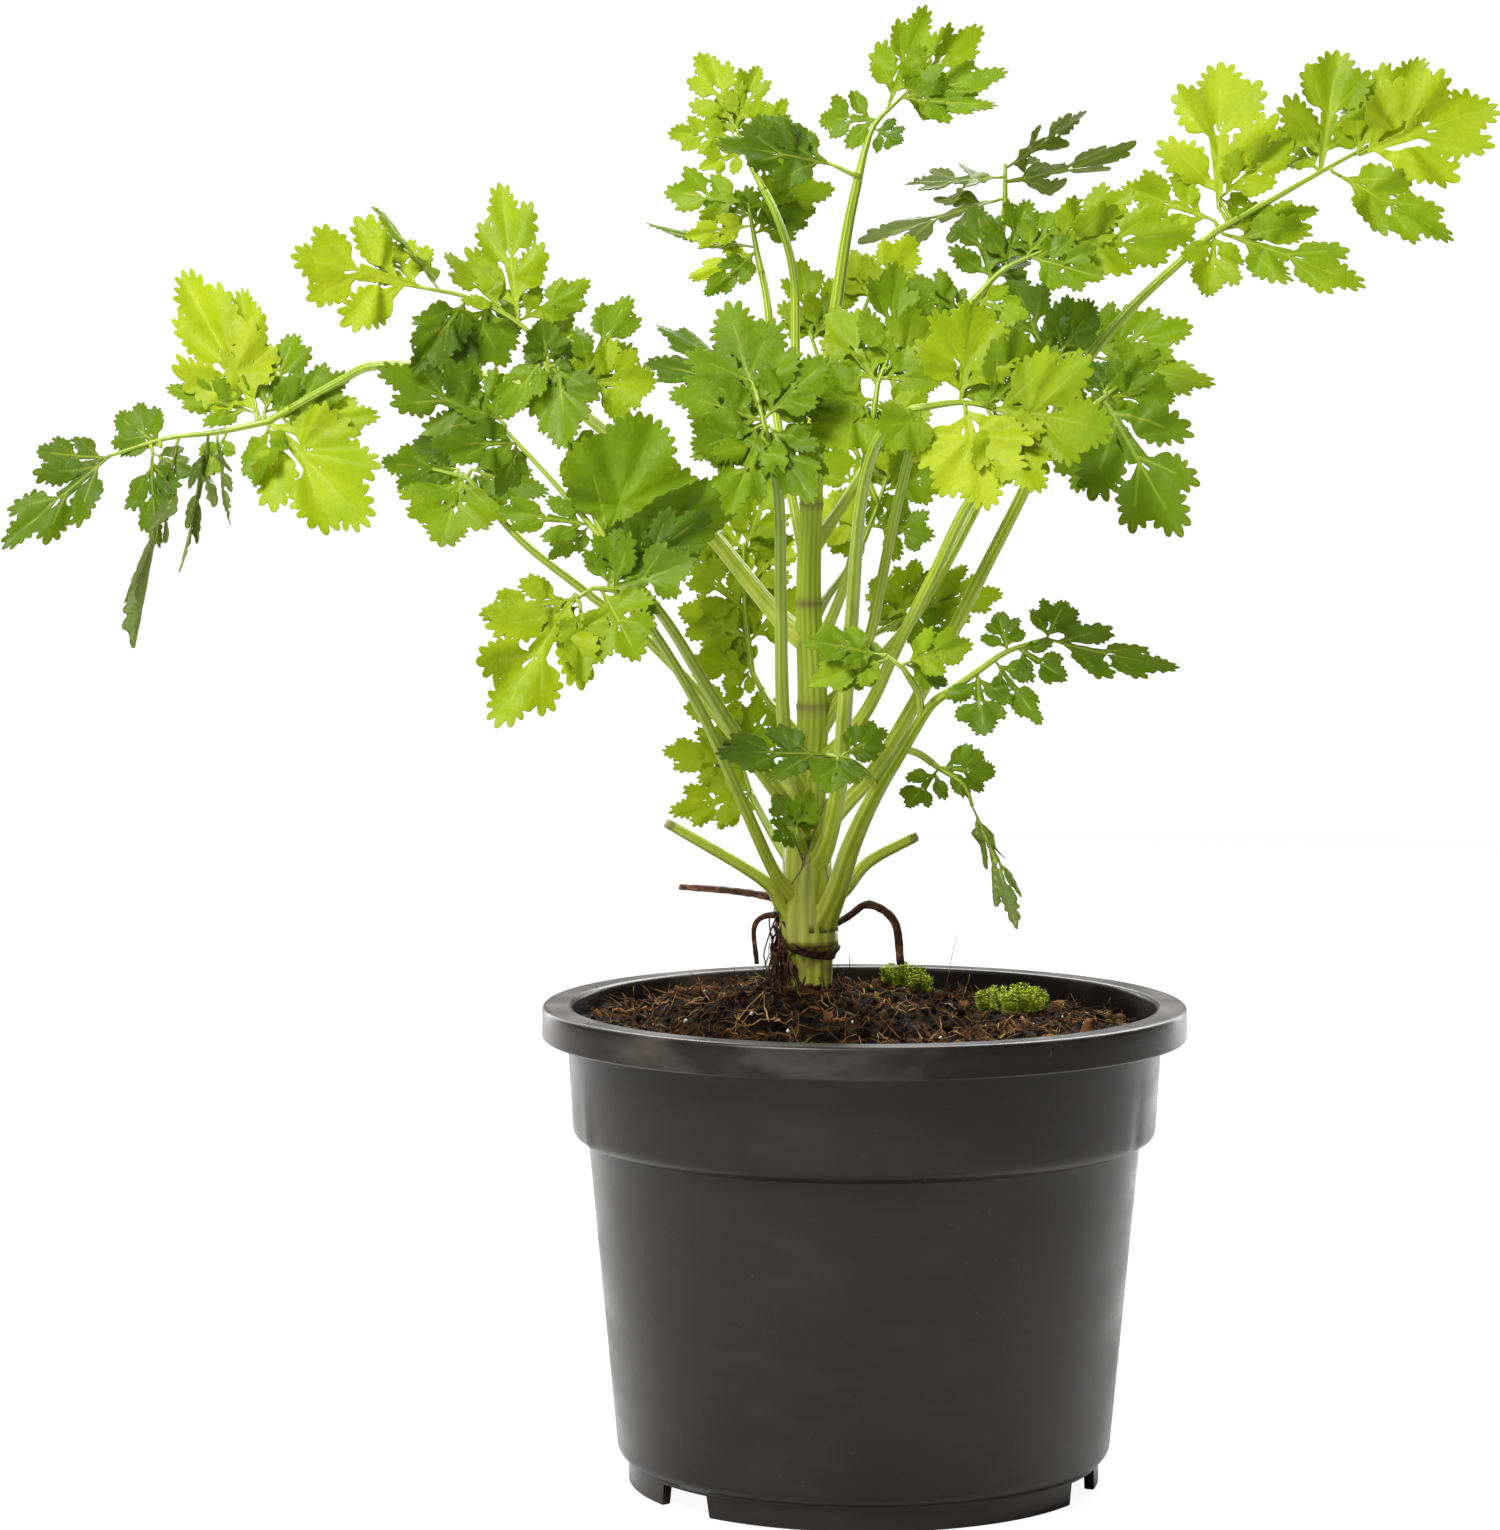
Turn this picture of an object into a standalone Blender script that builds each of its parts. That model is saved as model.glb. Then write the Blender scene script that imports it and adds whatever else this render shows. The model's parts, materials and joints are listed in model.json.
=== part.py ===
"""Potted coriander: a young bushy plant in a round nursery pot, for Blender 4.5.

Metres, +Z up. The pot stands on z = 0 and -Y is the front. Everything is built round the
pot's axis and hangs on one empty, which puts the middle of the plant's spread at x = 0.
Every leaf is a stalk and a blade: the stalk grows from the stem or from another stalk,
and the blade is a branching rib with its leaflets joined into one thin solid.
"""

import math
from dataclasses import dataclass

import bmesh
import bpy
from mathutils import Matrix, Vector

MM = 0.001
POT_AXIS_X = 28.5 * MM  # where the pot stands, to the right of the middle of the plant's spread

# Pot: radii and heights of the outside, then its walls.
POT_HEIGHT = 112 * MM
RIM_RADIUS = 75 * MM
RIM_DEPTH = 7.5 * MM  # height of the turned-down skirt
RIM_THICKNESS = 2.2 * MM
SKIRT_WALL = 1.4 * MM
COLLAR_RADIUS = 69.4 * MM  # just under the rim
COLLAR_FOOT_RADIUS = 67.9 * MM
COLLAR_FOOT_HEIGHT = 84 * MM
BODY_RADIUS = 64.2 * MM  # under the collar
BODY_TOP_HEIGHT = 80 * MM
BODY_FOOT_RADIUS = 57.7 * MM
CORNER_RADIUS = 4 * MM
CORNER_START = -62  # degrees, where the foot ring meets the rounded corner
LEDGE_TOP = (1.8 * MM, 0.9 * MM)  # out and up from the body's top
LEDGE_LIP = (0.8 * MM, 1.9 * MM)  # in and down from the collar's foot
FOOT_RADIUS = 55 * MM
FOOT_WIDTH = 2.4 * MM
FOOT_HEIGHT = 5.5 * MM
WALL = 1.4 * MM
NOTCH_LENGTH = 15 * MM
NOTCH_SHOULDER = 0.5 * MM  # left between a notch and the floor
NOTCH_ANGLES = tuple(math.radians(a) for a in (-138, -22, 42, 100, 162))  # from +X
DRAIN_RADIUS = 4.5 * MM
DRAIN_RING_RADIUS = 44 * MM
TURN_STEPS = 48

# Soil and moss.
SOIL_EDGE_DROP = 6.5 * MM  # below the rim's top, at the wall
SOIL_MIDDLE_DROP = 4.5 * MM
SOIL_FLAT_SHARE = 0.7  # of the radius, before the surface falls to the wall
MOUND_RADIUS = 38 * MM
MOUND_HEIGHT = 9 * MM
MOUND_SINK = 1 * MM  # of the mound's middle below the soil's middle
MOSS_CUSHIONS = (  # name, centre, radii
    ("moss_cushion_left", (10, 12, 109), (7.5, 6, 5)),
    ("moss_cushion_right", (35, 16, 107), (9, 7, 5)),
)

# Plant.
GAP = 0.3 * MM  # between pieces that touch
STEM_X = -12.5 * MM
PLAN_RIM_HEIGHT = 112 * MM  # the rim's height in the plan below, which stands as high as the pot does
STEM_SIDES = 10
STALK_SIDES = 6
RIB_SIDES = 4
PATH_STEP = 9 * MM  # longest straight stretch of a stalk
NECK_LENGTH = 6 * MM  # how far below its joint a blade starts
SHORT_NECK_SHARE = 0.4  # of that, on a short stalk
SHORT_STALK_POINTS = 4
NECK_GAP = 0.4 * MM  # between a stalk's end and its blade
RIB_RADIUS = 0.75 * MM
VEIN_RADIUS = 0.6 * MM
LEAFLET_ROLLS = (-5, 0, 4)  # degrees that one leaflet after another turns about its own length
LEAF_THICKNESS = 0.8 * MM
OPENING_LENGTH = 1100  # depth over which the canopy's width doubles
CANOPY_MIDDLE = 256  # height about which it opens

# Half of a leaflet's outline, as shares of its length and width, from base to tip.
BROAD_OUTLINE = ((0, 0.035), (0.24, 0.17), (0.38, 0.5), (0.6, 0.34), (0.8, 0.42), (1, 0))
SLIM_OUTLINE = ((0, 0.06), (0.3, 0.34), (0.52, 0.5), (0.8, 0.34), (1, 0))
SLIM_WIDTH = 12  # leaflets at most this wide take the slim outline

# Main stem from its root to its tip: x, y, z and radius.
STEM = (
    (-12.5, 0, 98, 3.2), (-12.5, 0, 110, 5), (-12.5, 0, 120, 5.7), (-13, 0, 128, 5.9),
    (-14, 0, 138, 4.9), (-13.5, 0, 150, 4.5), (-13, 0, 165, 3.9), (-12, 0, 180, 3.4),
    (-13, 0, 205, 2.8), (-12.5, 0, 225, 2.5), (-11.5, 0, 246, 2.2),
)


@dataclass(frozen=True)
class Leaf:
    """One leaf.

    Places are millimetres before the canopy opens with depth. A stalk's points are x, y
    and z, from inside what it grows from to the leaf's joint. The blade lies in the plane
    through its joint that goes back by `lean` per unit of height and by `swing` per unit
    of width, so its ribs and leaflets need only x and z. A leaflet is the x and z of its
    base and of its tip, its width, how far its tip stands behind the plane, and its roll
    in degrees.
    """

    name: str
    parent: str
    stalk: tuple
    radii: tuple
    lean: float
    swing: float
    ribs: tuple
    leaflets: tuple


LEAVES = (
    Leaf(
        "far_left", "main_stem",
        (
            (-13, 0, 196), (-21, 5, 203), (-40, 12, 226), (-58, 20, 243), (-72, 26, 253),
            (-90, 31, 258), (-112, 36, 260), (-122, 38, 256), (-138, 40, 247),
        ),
        (2.1, 1.0), 0.3, -0.08,
        (
            ((-138, 247), (-150, 244.5), (-162, 243), (-175, 239)),
        ),
        (
            (-140, 248, -158, 280, 21, 3, 0), (-141, 251, -144, 276, 12, 6, 0),
            (-141, 249, -161, 255, 11, 0, 0), (-139, 249, -132, 266, 13, 7, 0),
            (-138, 247, -120, 257, 12, 0, 0), (-138, 247, -117, 226, 25, -6, 0),
            (-134, 247, -114, 249, 11, -2, 0), (-138, 246, -141, 233, 12, -4, 15),
            (-148, 244, -153, 234, 8, -2, 20), (-163, 241, -173, 249, 13, 2, 0),
            (-165, 240, -166, 220, 13, -3, 30), (-175, 239, -199, 219, 15, -4, 10),
            (-159, 243, -171, 198, 8, -9, 65), (-152, 244, -157, 214, 7, -12, -60),
            (-150, 244, -149, 225, 5, -6, 50),
        ),
    ),
    Leaf(
        "upper_left", "main_stem",
        (
            (-14, 0, 150), (-18, -6, 158), (-26, -14, 169), (-35, -24, 183), (-46, -34, 201),
            (-56, -42, 213),
        ),
        (1.8, 1.1), 0.36, 0.12,
        (
            ((-56, 213), (-61, 222), (-67, 238), (-72, 254), (-77, 267), (-90, 275), (-103, 278)),
            ((-60, 219), (-72, 233), (-84, 246)),
        ),
        (
            (-103, 278, -131, 285, 25, -6, 0), (-98, 277, -112, 296, 8, 6, 60),
            (-80, 270, -84, 301, 17, 4, 0), (-83, 272, -96, 285, 10, 2, 10),
            (-92, 275, -103, 261, 11, -9, -20), (-87, 274, -91, 259, 15, 5, 0),
            (-84, 246, -111, 259, 16, -5, 0), (-83, 246, -97, 262, 12, -2, 0),
            (-80, 242, -99, 242, 11, -8, 0), (-74, 262, -84, 249, 10, -4, 20),
            (-73, 260, -75, 270, 9, -3, 0), (-71, 260, -69, 243, 15, -7, 10),
            (-65, 257, -54, 276, 13, 4, 0), (-64, 256, -49, 256, 17, 0, 0),
            (-72, 262, -71, 274, 9, 8, 0), (-60, 219, -49, 247, 26, -6, 0),
            (-58, 216, -26, 234, 14, -10, 35), (-63, 223, -84, 227, 10, -2, 0),
            (-68, 243, -63, 229, 9, 6, 0),
        ),
    ),
    Leaf(
        "low_left", "main_stem",
        (
            (-13, 0, 134), (-20, -7, 141), (-28, -18, 158), (-38, -34, 180), (-50, -50, 200),
            (-58, -58, 208),
        ),
        (1.5, 1.0), 0.3, 0.1,
        (
            ((-58, 208), (-63, 208.5), (-68, 205)),
        ),
        (
            (-67, 207, -86, 178, 22, -7, 0), (-67, 206, -88, 203, 11, -3, 0),
            (-66, 205, -65, 188, 11, -5, 0), (-61, 208, -53, 194, 15, -6, 0),
            (-60, 208, -40, 214, 18, -4, 0), (-58, 210, -37, 226, 14, -2, 10),
        ),
    ),
    Leaf(
        "left_back", "main_stem",
        (
            (-14, 0, 158), (-19, 5, 164), (-30, 13, 174), (-40, 20, 186), (-52, 26, 198),
            (-65, 31, 208), (-80, 35, 220), (-92, 38, 234),
        ),
        (1.8, 1.0), 0.15, 0.0,
        (
            ((-92, 234), (-100, 236)),
        ),
        (
            (-94, 236, -111, 237, 12, 0, 0), (-93, 235, -98, 219, 23, -6, 0),
            (-91, 236, -74, 230, 11, -4, 0),
        ),
    ),
    Leaf(
        "front_stalk", "main_stem",
        (
            (-13, 0, 160), (-17, -6, 168), (-19, -11, 180), (-19.5, -20, 205), (-20, -32, 230),
            (-23, -38, 245),
        ),
        (1.8, 1.2), 0.35, 0.0,
        (
            ((-23, 245), (-24.5, 251)),
        ),
        (
            (-24, 249, -32, 272, 24, 3, 0), (-23, 247, -44, 254, 15, -3, 0),
            (-23, 248, -9, 261, 14, 0, 0), (-24, 246, -39, 240, 14, -6, 10),
            (-23, 246, -31, 227, 14, -9, 0), (-22, 246, -13, 229, 13, -7, 0),
            (-25, 254, -50, 262, 8, 12, 20), (-26, 256, -47, 270, 8, 14, 10),
        ),
    ),
    Leaf(
        "centre", "main_stem",
        (
            (-13, 0, 192), (-8, -4, 201), (-3, -9, 215), (-1, -15, 230), (1, -21, 243),
            (2, -24, 249),
        ),
        (1.3, 1.0), 0.3, 0.0,
        (
            ((2, 249), (3, 256), (5, 261)),
        ),
        (
            (3, 255, -8, 273, 15, 2, 0), (5, 260, 7, 282, 15, 4, 0), (5, 259, 17, 271, 14, 1, 0),
            (4, 257, 17, 257, 13, -3, 0), (2, 252, -16, 253, 14, -4, 0),
            (1, 251, -11, 241, 14, -7, 10), (3, 250, 14, 243, 14, -6, 0),
        ),
    ),
    Leaf(
        "front_right", "main_stem",
        (
            (-13, 0, 143), (-9, -7, 149), (-6, -14, 162), (-4.5, -24, 182), (-3, -34, 202),
            (-1, -50, 228), (3, -60, 243), (11, -66, 250),
        ),
        (2.3, 1.2), 0.25, 0.05,
        (
            ((11, 250), (22, 251.5), (30, 250)),
        ),
        (
            (22, 252, 25, 273, 20, 3, 0), (23, 250.5, 27, 229, 22, -5, 0),
            (28, 250, 40, 231, 15, -7, 0), (29, 250, 56, 247, 24, -3, 0),
            (28, 251, 43, 264, 16, 3, 0), (13, 250, 5, 242, 12, -4, 10),
        ),
    ),
    Leaf(
        "right_inner", "main_stem",
        (
            (-12.5, 0, 172), (-5, 0, 184), (1, -1, 197), (4, -2, 211), (7, -3, 226), (11, -4, 243),
            (15, -5, 262), (25, -6, 275),
        ),
        (1.4, 1.0), 0.2, 0.0,
        (
            ((25, 275), (32, 282), (43, 287)),
        ),
        (
            (29, 279, 25, 297, 14, 4, 0), (32, 282, 37, 298, 13, 6, 0),
            (37, 285, 47, 296, 11, 2, 0), (43, 287, 74, 290, 15, -2, 0),
            (43, 287, 60, 299, 12, 3, 0), (37, 285, 54, 280, 13, -4, 0),
            (22, 272, 8, 279, 12, -3, 10), (25, 275, 37, 271, 9, -5, 0),
        ),
    ),
    Leaf(
        "right_long", "main_stem",
        (
            (-13, 0, 150), (-6, 1, 157), (2, 3, 166), (11, 6, 181), (19, 8, 196), (28, 10, 214),
            (37, 13, 232), (47, 17, 255), (60, 20, 272), (76, 24, 287), (81, 25, 291),
        ),
        (1.9, 1.0), 0.3, 0.05,
        (
            ((81, 291), (90, 296), (104, 304), (115, 310)),
        ),
        (
            (81, 296, 81, 330, 25, 4, 0), (81, 298, 97, 311, 11, 0, 0),
            (80, 293, 60, 301, 13, 2, 0), (82, 290, 113, 280, 17, -5, 0),
            (82, 291, 103, 295, 9, 2, 0), (80, 290, 79, 276, 13, -4, 0),
            (104, 304, 108, 330, 20, 4, 0), (113, 308, 143, 320, 25, 0, 0),
            (112, 308, 127, 331, 16, 4, 0), (107, 304, 133, 290, 13, -4, 0),
        ),
    ),
    Leaf(
        "right_mid", "main_stem",
        (
            (-12.5, 0, 166), (-6, -4, 172), (1, -8, 181), (8, -12, 196), (16, -18, 212),
            (25, -25, 230), (38, -30, 243), (53, -33, 251),
        ),
        (1.7, 1.0), 0.3, 0.0,
        (
            ((53, 251), (58, 255)),
        ),
        (
            (55, 253, 71, 253, 11, 2, 0), (55, 252, 71, 224, 25, -6, 0),
            (55, 254, 67, 261, 9, 4, 0),
        ),
    ),
    Leaf(
        "right_back", "main_stem",
        (
            (-12.5, 0, 178), (-6, 5, 184), (5, 13, 194), (14, 21, 206), (24, 30, 224),
            (33, 37, 243), (40, 42, 257),
        ),
        (1.4, 1.0), 0.25, 0.0,
        (
            ((40, 257), (45, 262), (52, 263)),
        ),
        (
            (42, 261, 33, 281, 17, 4, 0), (45, 263, 53, 274, 14, 2, 0),
            (51, 263, 74, 268, 16, -2, 0), (52, 262, 79, 256, 10, -5, 0),
            (44, 260, 60, 249, 12, -4, 0),
        ),
    ),
    Leaf(
        "top", "main_stem",
        (
            (-11.5, 0, 243), (-10, 0, 252), (-7, 1, 272), (-4, 3, 292), (-0.5, 5, 308),
        ),
        (1.9, 1.1), 0.25, 0.1,
        (
            ((-0.5, 308), (2, 315), (8, 321)),
            ((-1.5, 303), (-9, 306.5)),
        ),
        (
            (5, 319, 14, 341, 14, 4, 0), (8, 321, 26, 337, 12, 3, 0), (8, 321, 31, 327, 10, -2, 0),
            (8, 321, 29, 319, 8, -4, 0), (3, 316, -10, 317, 12, 2, 0), (2, 314, 8, 311, 8, -4, 20),
            (-8, 306, -33, 311, 15, -6, 15), (-8, 306, -25, 317, 9, 2, 0),
        ),
    ),
    Leaf(
        "feathery_top", "main_stem",
        (
            (-12, 0, 228), (-14, 5, 240), (-16, 11, 260), (-16.5, 16, 280), (-20, 19, 293),
            (-26, 22, 305),
        ),
        (1.3, 0.9), 0.25, 0.0,
        (
            ((-26, 305), (-30, 315)),
        ),
        (
            (-30, 314, -38, 333, 14, 3, 0), (-30, 314, -24, 329, 10, 2, 0),
            (-30, 312, -46, 314, 9, 0, 0), (-27, 307, -18, 321, 8, 1, 0),
            (-27, 307, -11, 313, 9, -1, 0), (-28, 309, -38, 305, 8, -3, 0),
        ),
    ),
    Leaf(
        "feathery_back", "main_stem",
        (
            (-12.5, 0, 210), (-15, 8, 220), (-18, 18, 235), (-21, 28, 252), (-22.5, 37, 273),
            (-25, 42, 286),
        ),
        (1.3, 0.9), 0.3, 0.0,
        (
            ((-25, 286), (-27, 297)),
        ),
        (
            (-27, 297, -47, 301, 12, 2, 0), (-27, 296, -7, 301, 12, 2, 0),
            (-26, 292, -42, 289, 8, 0, 0), (-25, 287, -51, 291, 8, 5, 40),
            (-25, 286, -41, 280, 8, -2, 0), (-25, 286, -38, 275, 8, -4, 0),
            (-26, 291, -18, 304, 13, 4, 0), (-26, 290, -11, 296, 10, 1, 0),
            (-26, 294, -38, 298, 9, 5, 0),
        ),
    ),
    Leaf(
        "grey_top_right", "main_stem",
        (
            (-12, 0, 218), (-5, 10, 228), (6, 26, 246), (18, 42, 264), (29, 54, 280),
            (32, 58, 296),
        ),
        (1.5, 1.0), 0.1, 0.0,
        (
            ((32, 296), (32, 306)),
        ),
        (
            (32, 305, 49, 316, 10, 10, 62), (32, 302, 58, 306, 12, -6, 62),
            (31, 303, 12, 301, 10, 6, 62), (31, 298, 3, 290, 12, -4, 55),
        ),
    ),
    Leaf(
        "low_right", "main_stem",
        (
            (-12.5, 0, 126), (-7, -6, 137), (-3, -12, 149), (2, -20, 160), (8, -30, 170),
            (15, -40, 181), (20, -46, 185),
        ),
        (3, 1.1), 0.3, 0.1,
        (
            ((20, 185), (27, 190), (33, 194), (42, 197)),
        ),
        (
            (26, 189, 27, 175, 13, -4, 0), (30, 192, 40, 178, 9, -3, 0),
            (35, 195, 46, 188, 10, -4, 0), (42, 197, 70, 189, 10, -6, 40),
            (33, 194, 31, 203, 9, 2, 0), (42, 197, 46, 205, 10, 3, 0),
        ),
    ),
    Leaf(
        "stem_front", "low_right_stalk",
        (
            (3, -22.5, 162), (0, -29, 166), (-4, -33, 169),
        ),
        (0.9, 0.8), 0.2, 0.0,
        (
            ((-4, 169), (-9, 170)),
        ),
        (
            (-9, 170, -33, 171, 13, -5, 20), (-6, 170, -8, 161, 12, -4, 0),
            (-5, 170, 5, 175, 9, 2, 0),
        ),
    ),
    Leaf(
        "mid_spray", "low_right_stalk",
        (
            (13, -37.5, 178), (12.5, -42, 184), (9, -46, 190),
        ),
        (0.9, 0.8), 0.2, 0.0,
        (
            ((9, 190), (5, 193)),
        ),
        (
            (4, 193, -13, 197, 10, -3, 20), (5, 192, -12, 188, 10, -4, 20),
            (9, 191, 24, 196, 10, 2, 0),
        ),
    ),
    Leaf(
        "drooping", "low_right_stalk",
        (
            (9, -31.5, 171.5), (13, -26, 170), (17, -21, 167),
        ),
        (0.9, 0.8), 0.2, 0.0,
        (
            ((17, 167), (23, 163), (25, 158)),
        ),
        (
            (18, 167, 29, 166, 10, 2, 0), (17, 166.5, 11, 159, 9, -3, 0),
            (25, 158, 36, 134, 6, -5, 50),
        ),
    ),
    Leaf(
        "inner_right", "main_stem",
        (
            (-12, 0, 184), (-8, 7, 190), (-1, 17, 196), (8, 26, 201),
        ),
        (1.1, 0.8), 0.2, 0.0,
        (
            ((8, 201), (14, 204)),
        ),
        (
            (14, 204, 31, 208, 12, 0, 0), (9, 202, 12, 215, 11, 2, 0),
            (12, 204, 23, 213, 10, 3, 0), (10, 202, 2, 211, 11, 4, 0),
            (11, 203, 17, 194, 9, -2, 0),
        ),
    ),
    Leaf(
        "inner_back", "main_stem",
        (
            (-12.5, 0, 200), (-9, 8, 206), (-4, 18, 213), (0, 25, 220),
        ),
        (1.1, 0.8), 0.25, 0.0,
        (
            ((0, 220), (3, 228), (5, 234)),
            ((3, 228), (-2, 240), (-8, 254), (-13, 268)),
            ((-8, 254), (-3, 266), (1, 276)),
        ),
        (
            (1, 222, -11, 228, 12, 0, 0), (2, 223, 14, 221, 12, -2, 0),
            (3, 229, -9, 238, 12, 2, 0), (4, 231, 19, 236, 12, 2, 0), (5, 233, 10, 243, 10, 3, 0),
            (-5, 248, -17, 259, 10, 1, 0), (-12, 266, -15, 282, 11, 2, 0),
            (-12, 266, -4, 279, 11, 0, 0), (1, 275, 10, 288, 12, 3, 0), (1, 275, -3, 285, 9, 1, 0),
        ),
    ),
    Leaf(
        "young_left_high", "main_stem",
        (
            (-13, 0, 172), (-17, 7, 177), (-22, 15, 182), (-26, 21, 189),
        ),
        (1.1, 0.8), 0.25, 0.0,
        (
            ((-26, 189), (-27, 197), (-28, 208), (-28, 219)),
        ),
        (
            (-27, 197, -39, 202, 10, 2, 0), (-26, 190, -37, 191, 7, -2, 0),
            (-27, 196, -18, 205, 10, 2, 0), (-27.5, 203, -37, 212, 9, 0, 0),
            (-28, 208, -20, 218, 10, 2, 0), (-28, 217, -36, 227, 10, 2, 0),
            (-28, 217, -23, 231, 10, 0, 0),
        ),
    ),
    Leaf(
        "young_left_low", "main_stem",
        (
            (-14, 0, 141), (-20, 8, 149), (-26, 15, 160), (-28, 19, 166),
        ),
        (1.1, 0.8), 0.2, 0.0,
        (
            ((-28, 166), (-29, 172)),
        ),
        (
            (-29, 172, -38, 184, 9, 2, 0), (-28.5, 167, -42, 170, 8, 0, 0),
            (-26, 161, -40, 158, 8, -3, 0), (-29, 171, -21, 180, 9, 3, 0),
        ),
    ),
    Leaf(
        "stem_tuft", "main_stem",
        (
            (-13, 0, 146), (-14.5, -8, 149), (-15.5, -13, 151),
        ),
        (0.9, 0.8), 0.2, 0.0,
        (
            ((-15.5, 151), (-16, 153)),
        ),
        (
            (-16, 153, -12, 161, 8, 1, 0), (-16, 152.5, -21, 160, 7, 1, 0),
            (-16, 152, -21, 150, 6, -2, 10),
        ),
    ),
)

# Plain sprigs: name, points from inside the crown, radii from base to tip.
SPRIGS = (
    ("cut_stalk_left", ((-13, 0, 124), (-19, -3, 134), (-24, -6, 141), (-46, -12, 154)), (1.7, 1.1)),
    ("cut_stalk_right", ((-12.5, 0, 133), (-5, 4, 138), (1, 8, 145), (12, 12, 151)), (1.7, 1.2)),
    ("dry_stalk_left", ((-13, 0, 131), (-20, 6, 136), (-30, 10, 138), (-43, 13, 139)), (1.1, 0.9)),
    ("dry_stalk_hanging", ((-13, 0, 130), (-21, 2, 132.5), (-25.5, 2, 130), (-25, 2, 121)), (0.9, 0.8)),
    ("dry_stalk_arched", ((-12.5, 0, 127), (-4, 3, 132), (1, 2, 135), (7, 0, 131),
                          (8.5, -1, 121)), (0.9, 0.8)),
)

FINISHES = {  # material: base colour and roughness
    "pot_plastic": ((0.020, 0.019, 0.018), 0.38),
    "potting_soil": ((0.045, 0.022, 0.012), 0.95),
    "moss": ((0.16, 0.30, 0.03), 0.9),
    "stem_skin": ((0.30, 0.46, 0.10), 0.45),
    "stalk_skin": ((0.27, 0.42, 0.09), 0.45),
    "leaf_green": ((0.13, 0.33, 0.025), 0.5),
    "dry_stalk": ((0.09, 0.035, 0.018), 0.8),
}


def stand():
    """How far the plant stands above its plan, on this pot."""
    return Vector((0, 0, POT_HEIGHT - PLAN_RIM_HEIGHT))


def spread(x, y, z):
    """A planned place in millimetres as a point in metres, the canopy opening with depth."""
    opening = 1 + y / OPENING_LENGTH
    return Vector((x * opening, y, CANOPY_MIDDLE + (z - CANOPY_MIDDLE) * opening)) * MM + stand()


def finish(name):
    """The named material, made once."""
    material = bpy.data.materials.get(name)
    if material is None:
        material = bpy.data.materials.new(name)
        material.use_nodes = True
        shader = material.node_tree.nodes["Principled BSDF"]
        colour, roughness = FINISHES[name]
        shader.inputs["Base Color"].default_value = (*colour, 1)
        shader.inputs["Roughness"].default_value = roughness
        material.diffuse_color = (*colour, 1)
    return material


def place(name, mesh, collection, material=None):
    """A new object of this mesh in this collection; one with no material is a helper."""
    obj = bpy.data.objects.new(name, mesh)
    collection.objects.link(obj)
    if material is None:
        obj.hide_render = True
        obj.display_type = "WIRE"
    else:
        mesh.materials.append(finish(material))
    return obj


def mesh_of(curve_data, matrix=Matrix()):
    """The closed mesh that this curve makes, moved by this matrix."""
    curve = bpy.data.objects.new("guide", curve_data)
    mesh = bpy.data.meshes.new_from_object(curve)
    bpy.data.objects.remove(curve)
    bpy.data.curves.remove(curve_data)
    shape = bmesh.new()
    shape.from_mesh(mesh)
    bmesh.ops.remove_doubles(shape, verts=shape.verts, dist=0.001 * MM)
    bmesh.ops.transform(shape, matrix=matrix, verts=shape.verts)
    bmesh.ops.recalc_face_normals(shape, faces=shape.faces)
    shape.to_mesh(mesh)
    shape.free()
    return mesh


def smooth_path(points, step):
    """A Catmull-Rom curve through these points, sampled about every step."""
    ends = [2 * points[0] - points[1], *points, 2 * points[-1] - points[-2]]
    path = []
    for before, start, end, after in zip(ends, ends[1:], ends[2:], ends[3:]):
        count = max(1, math.ceil((end - start).length / step))
        for i in range(count):
            t = i / count
            path.append(
                0.5 * (2 * start + (end - before) * t
                       + (2 * before - 5 * start + 4 * end - after) * t ** 2
                       + (3 * start - before - 3 * end + after) * t ** 3))
    return [*path, points[-1]]


def tube_mesh(path, radii, sides, grow=0.0):
    """A round tube along the path, `grow` larger all round. Radii are two ends or one each."""
    path = [point.copy() for point in path]
    path[0] += (path[0] - path[1]).normalized() * grow
    path[-1] += (path[-1] - path[-2]).normalized() * grow
    if len(radii) == 2:
        first, last = radii
        radii = [first + (last - first) * i / (len(path) - 1) for i in range(len(path))]
    data = bpy.data.curves.new("tube", "CURVE")
    data.dimensions = "3D"
    data.bevel_depth = 1.0
    data.bevel_resolution = sides // 2 - 2
    data.use_fill_caps = True
    data.twist_mode = "MINIMUM"
    spline = data.splines.new("POLY")
    spline.points.add(len(path) - 1)
    for point, spot, radius in zip(spline.points, path, radii):
        point.co = (*spot, 1)
        point.radius = radius + grow
    return mesh_of(data)


def turned(name, profile, collection, material):
    """A solid of revolution about Z from a closed profile of radius and height pairs."""
    mesh = bpy.data.meshes.new(name)
    shape = bmesh.new()
    corners = [shape.verts.new((radius, 0, height)) for radius, height in profile]
    for start, end in zip(corners, corners[1:]):
        shape.edges.new((start, end))
    shape.to_mesh(mesh)
    shape.free()
    obj = place(name, mesh, collection, material)
    screw = obj.modifiers.new("turn", "SCREW")
    screw.steps = screw.render_steps = TURN_STEPS
    screw.use_merge_vertices = True
    screw.merge_threshold = 0.01 * MM
    screw.use_normal_calculate = True
    return obj


def boolean(obj, operation, other):
    """Cuts, or joins, the other object or each object of a collection."""
    modifier = obj.modifiers.new(operation.lower(), "BOOLEAN")
    modifier.operation = operation
    modifier.solver = "EXACT"
    if isinstance(other, bpy.types.Collection):
        modifier.operand_type = "COLLECTION"
        modifier.collection = other
    else:
        modifier.object = other


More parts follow.
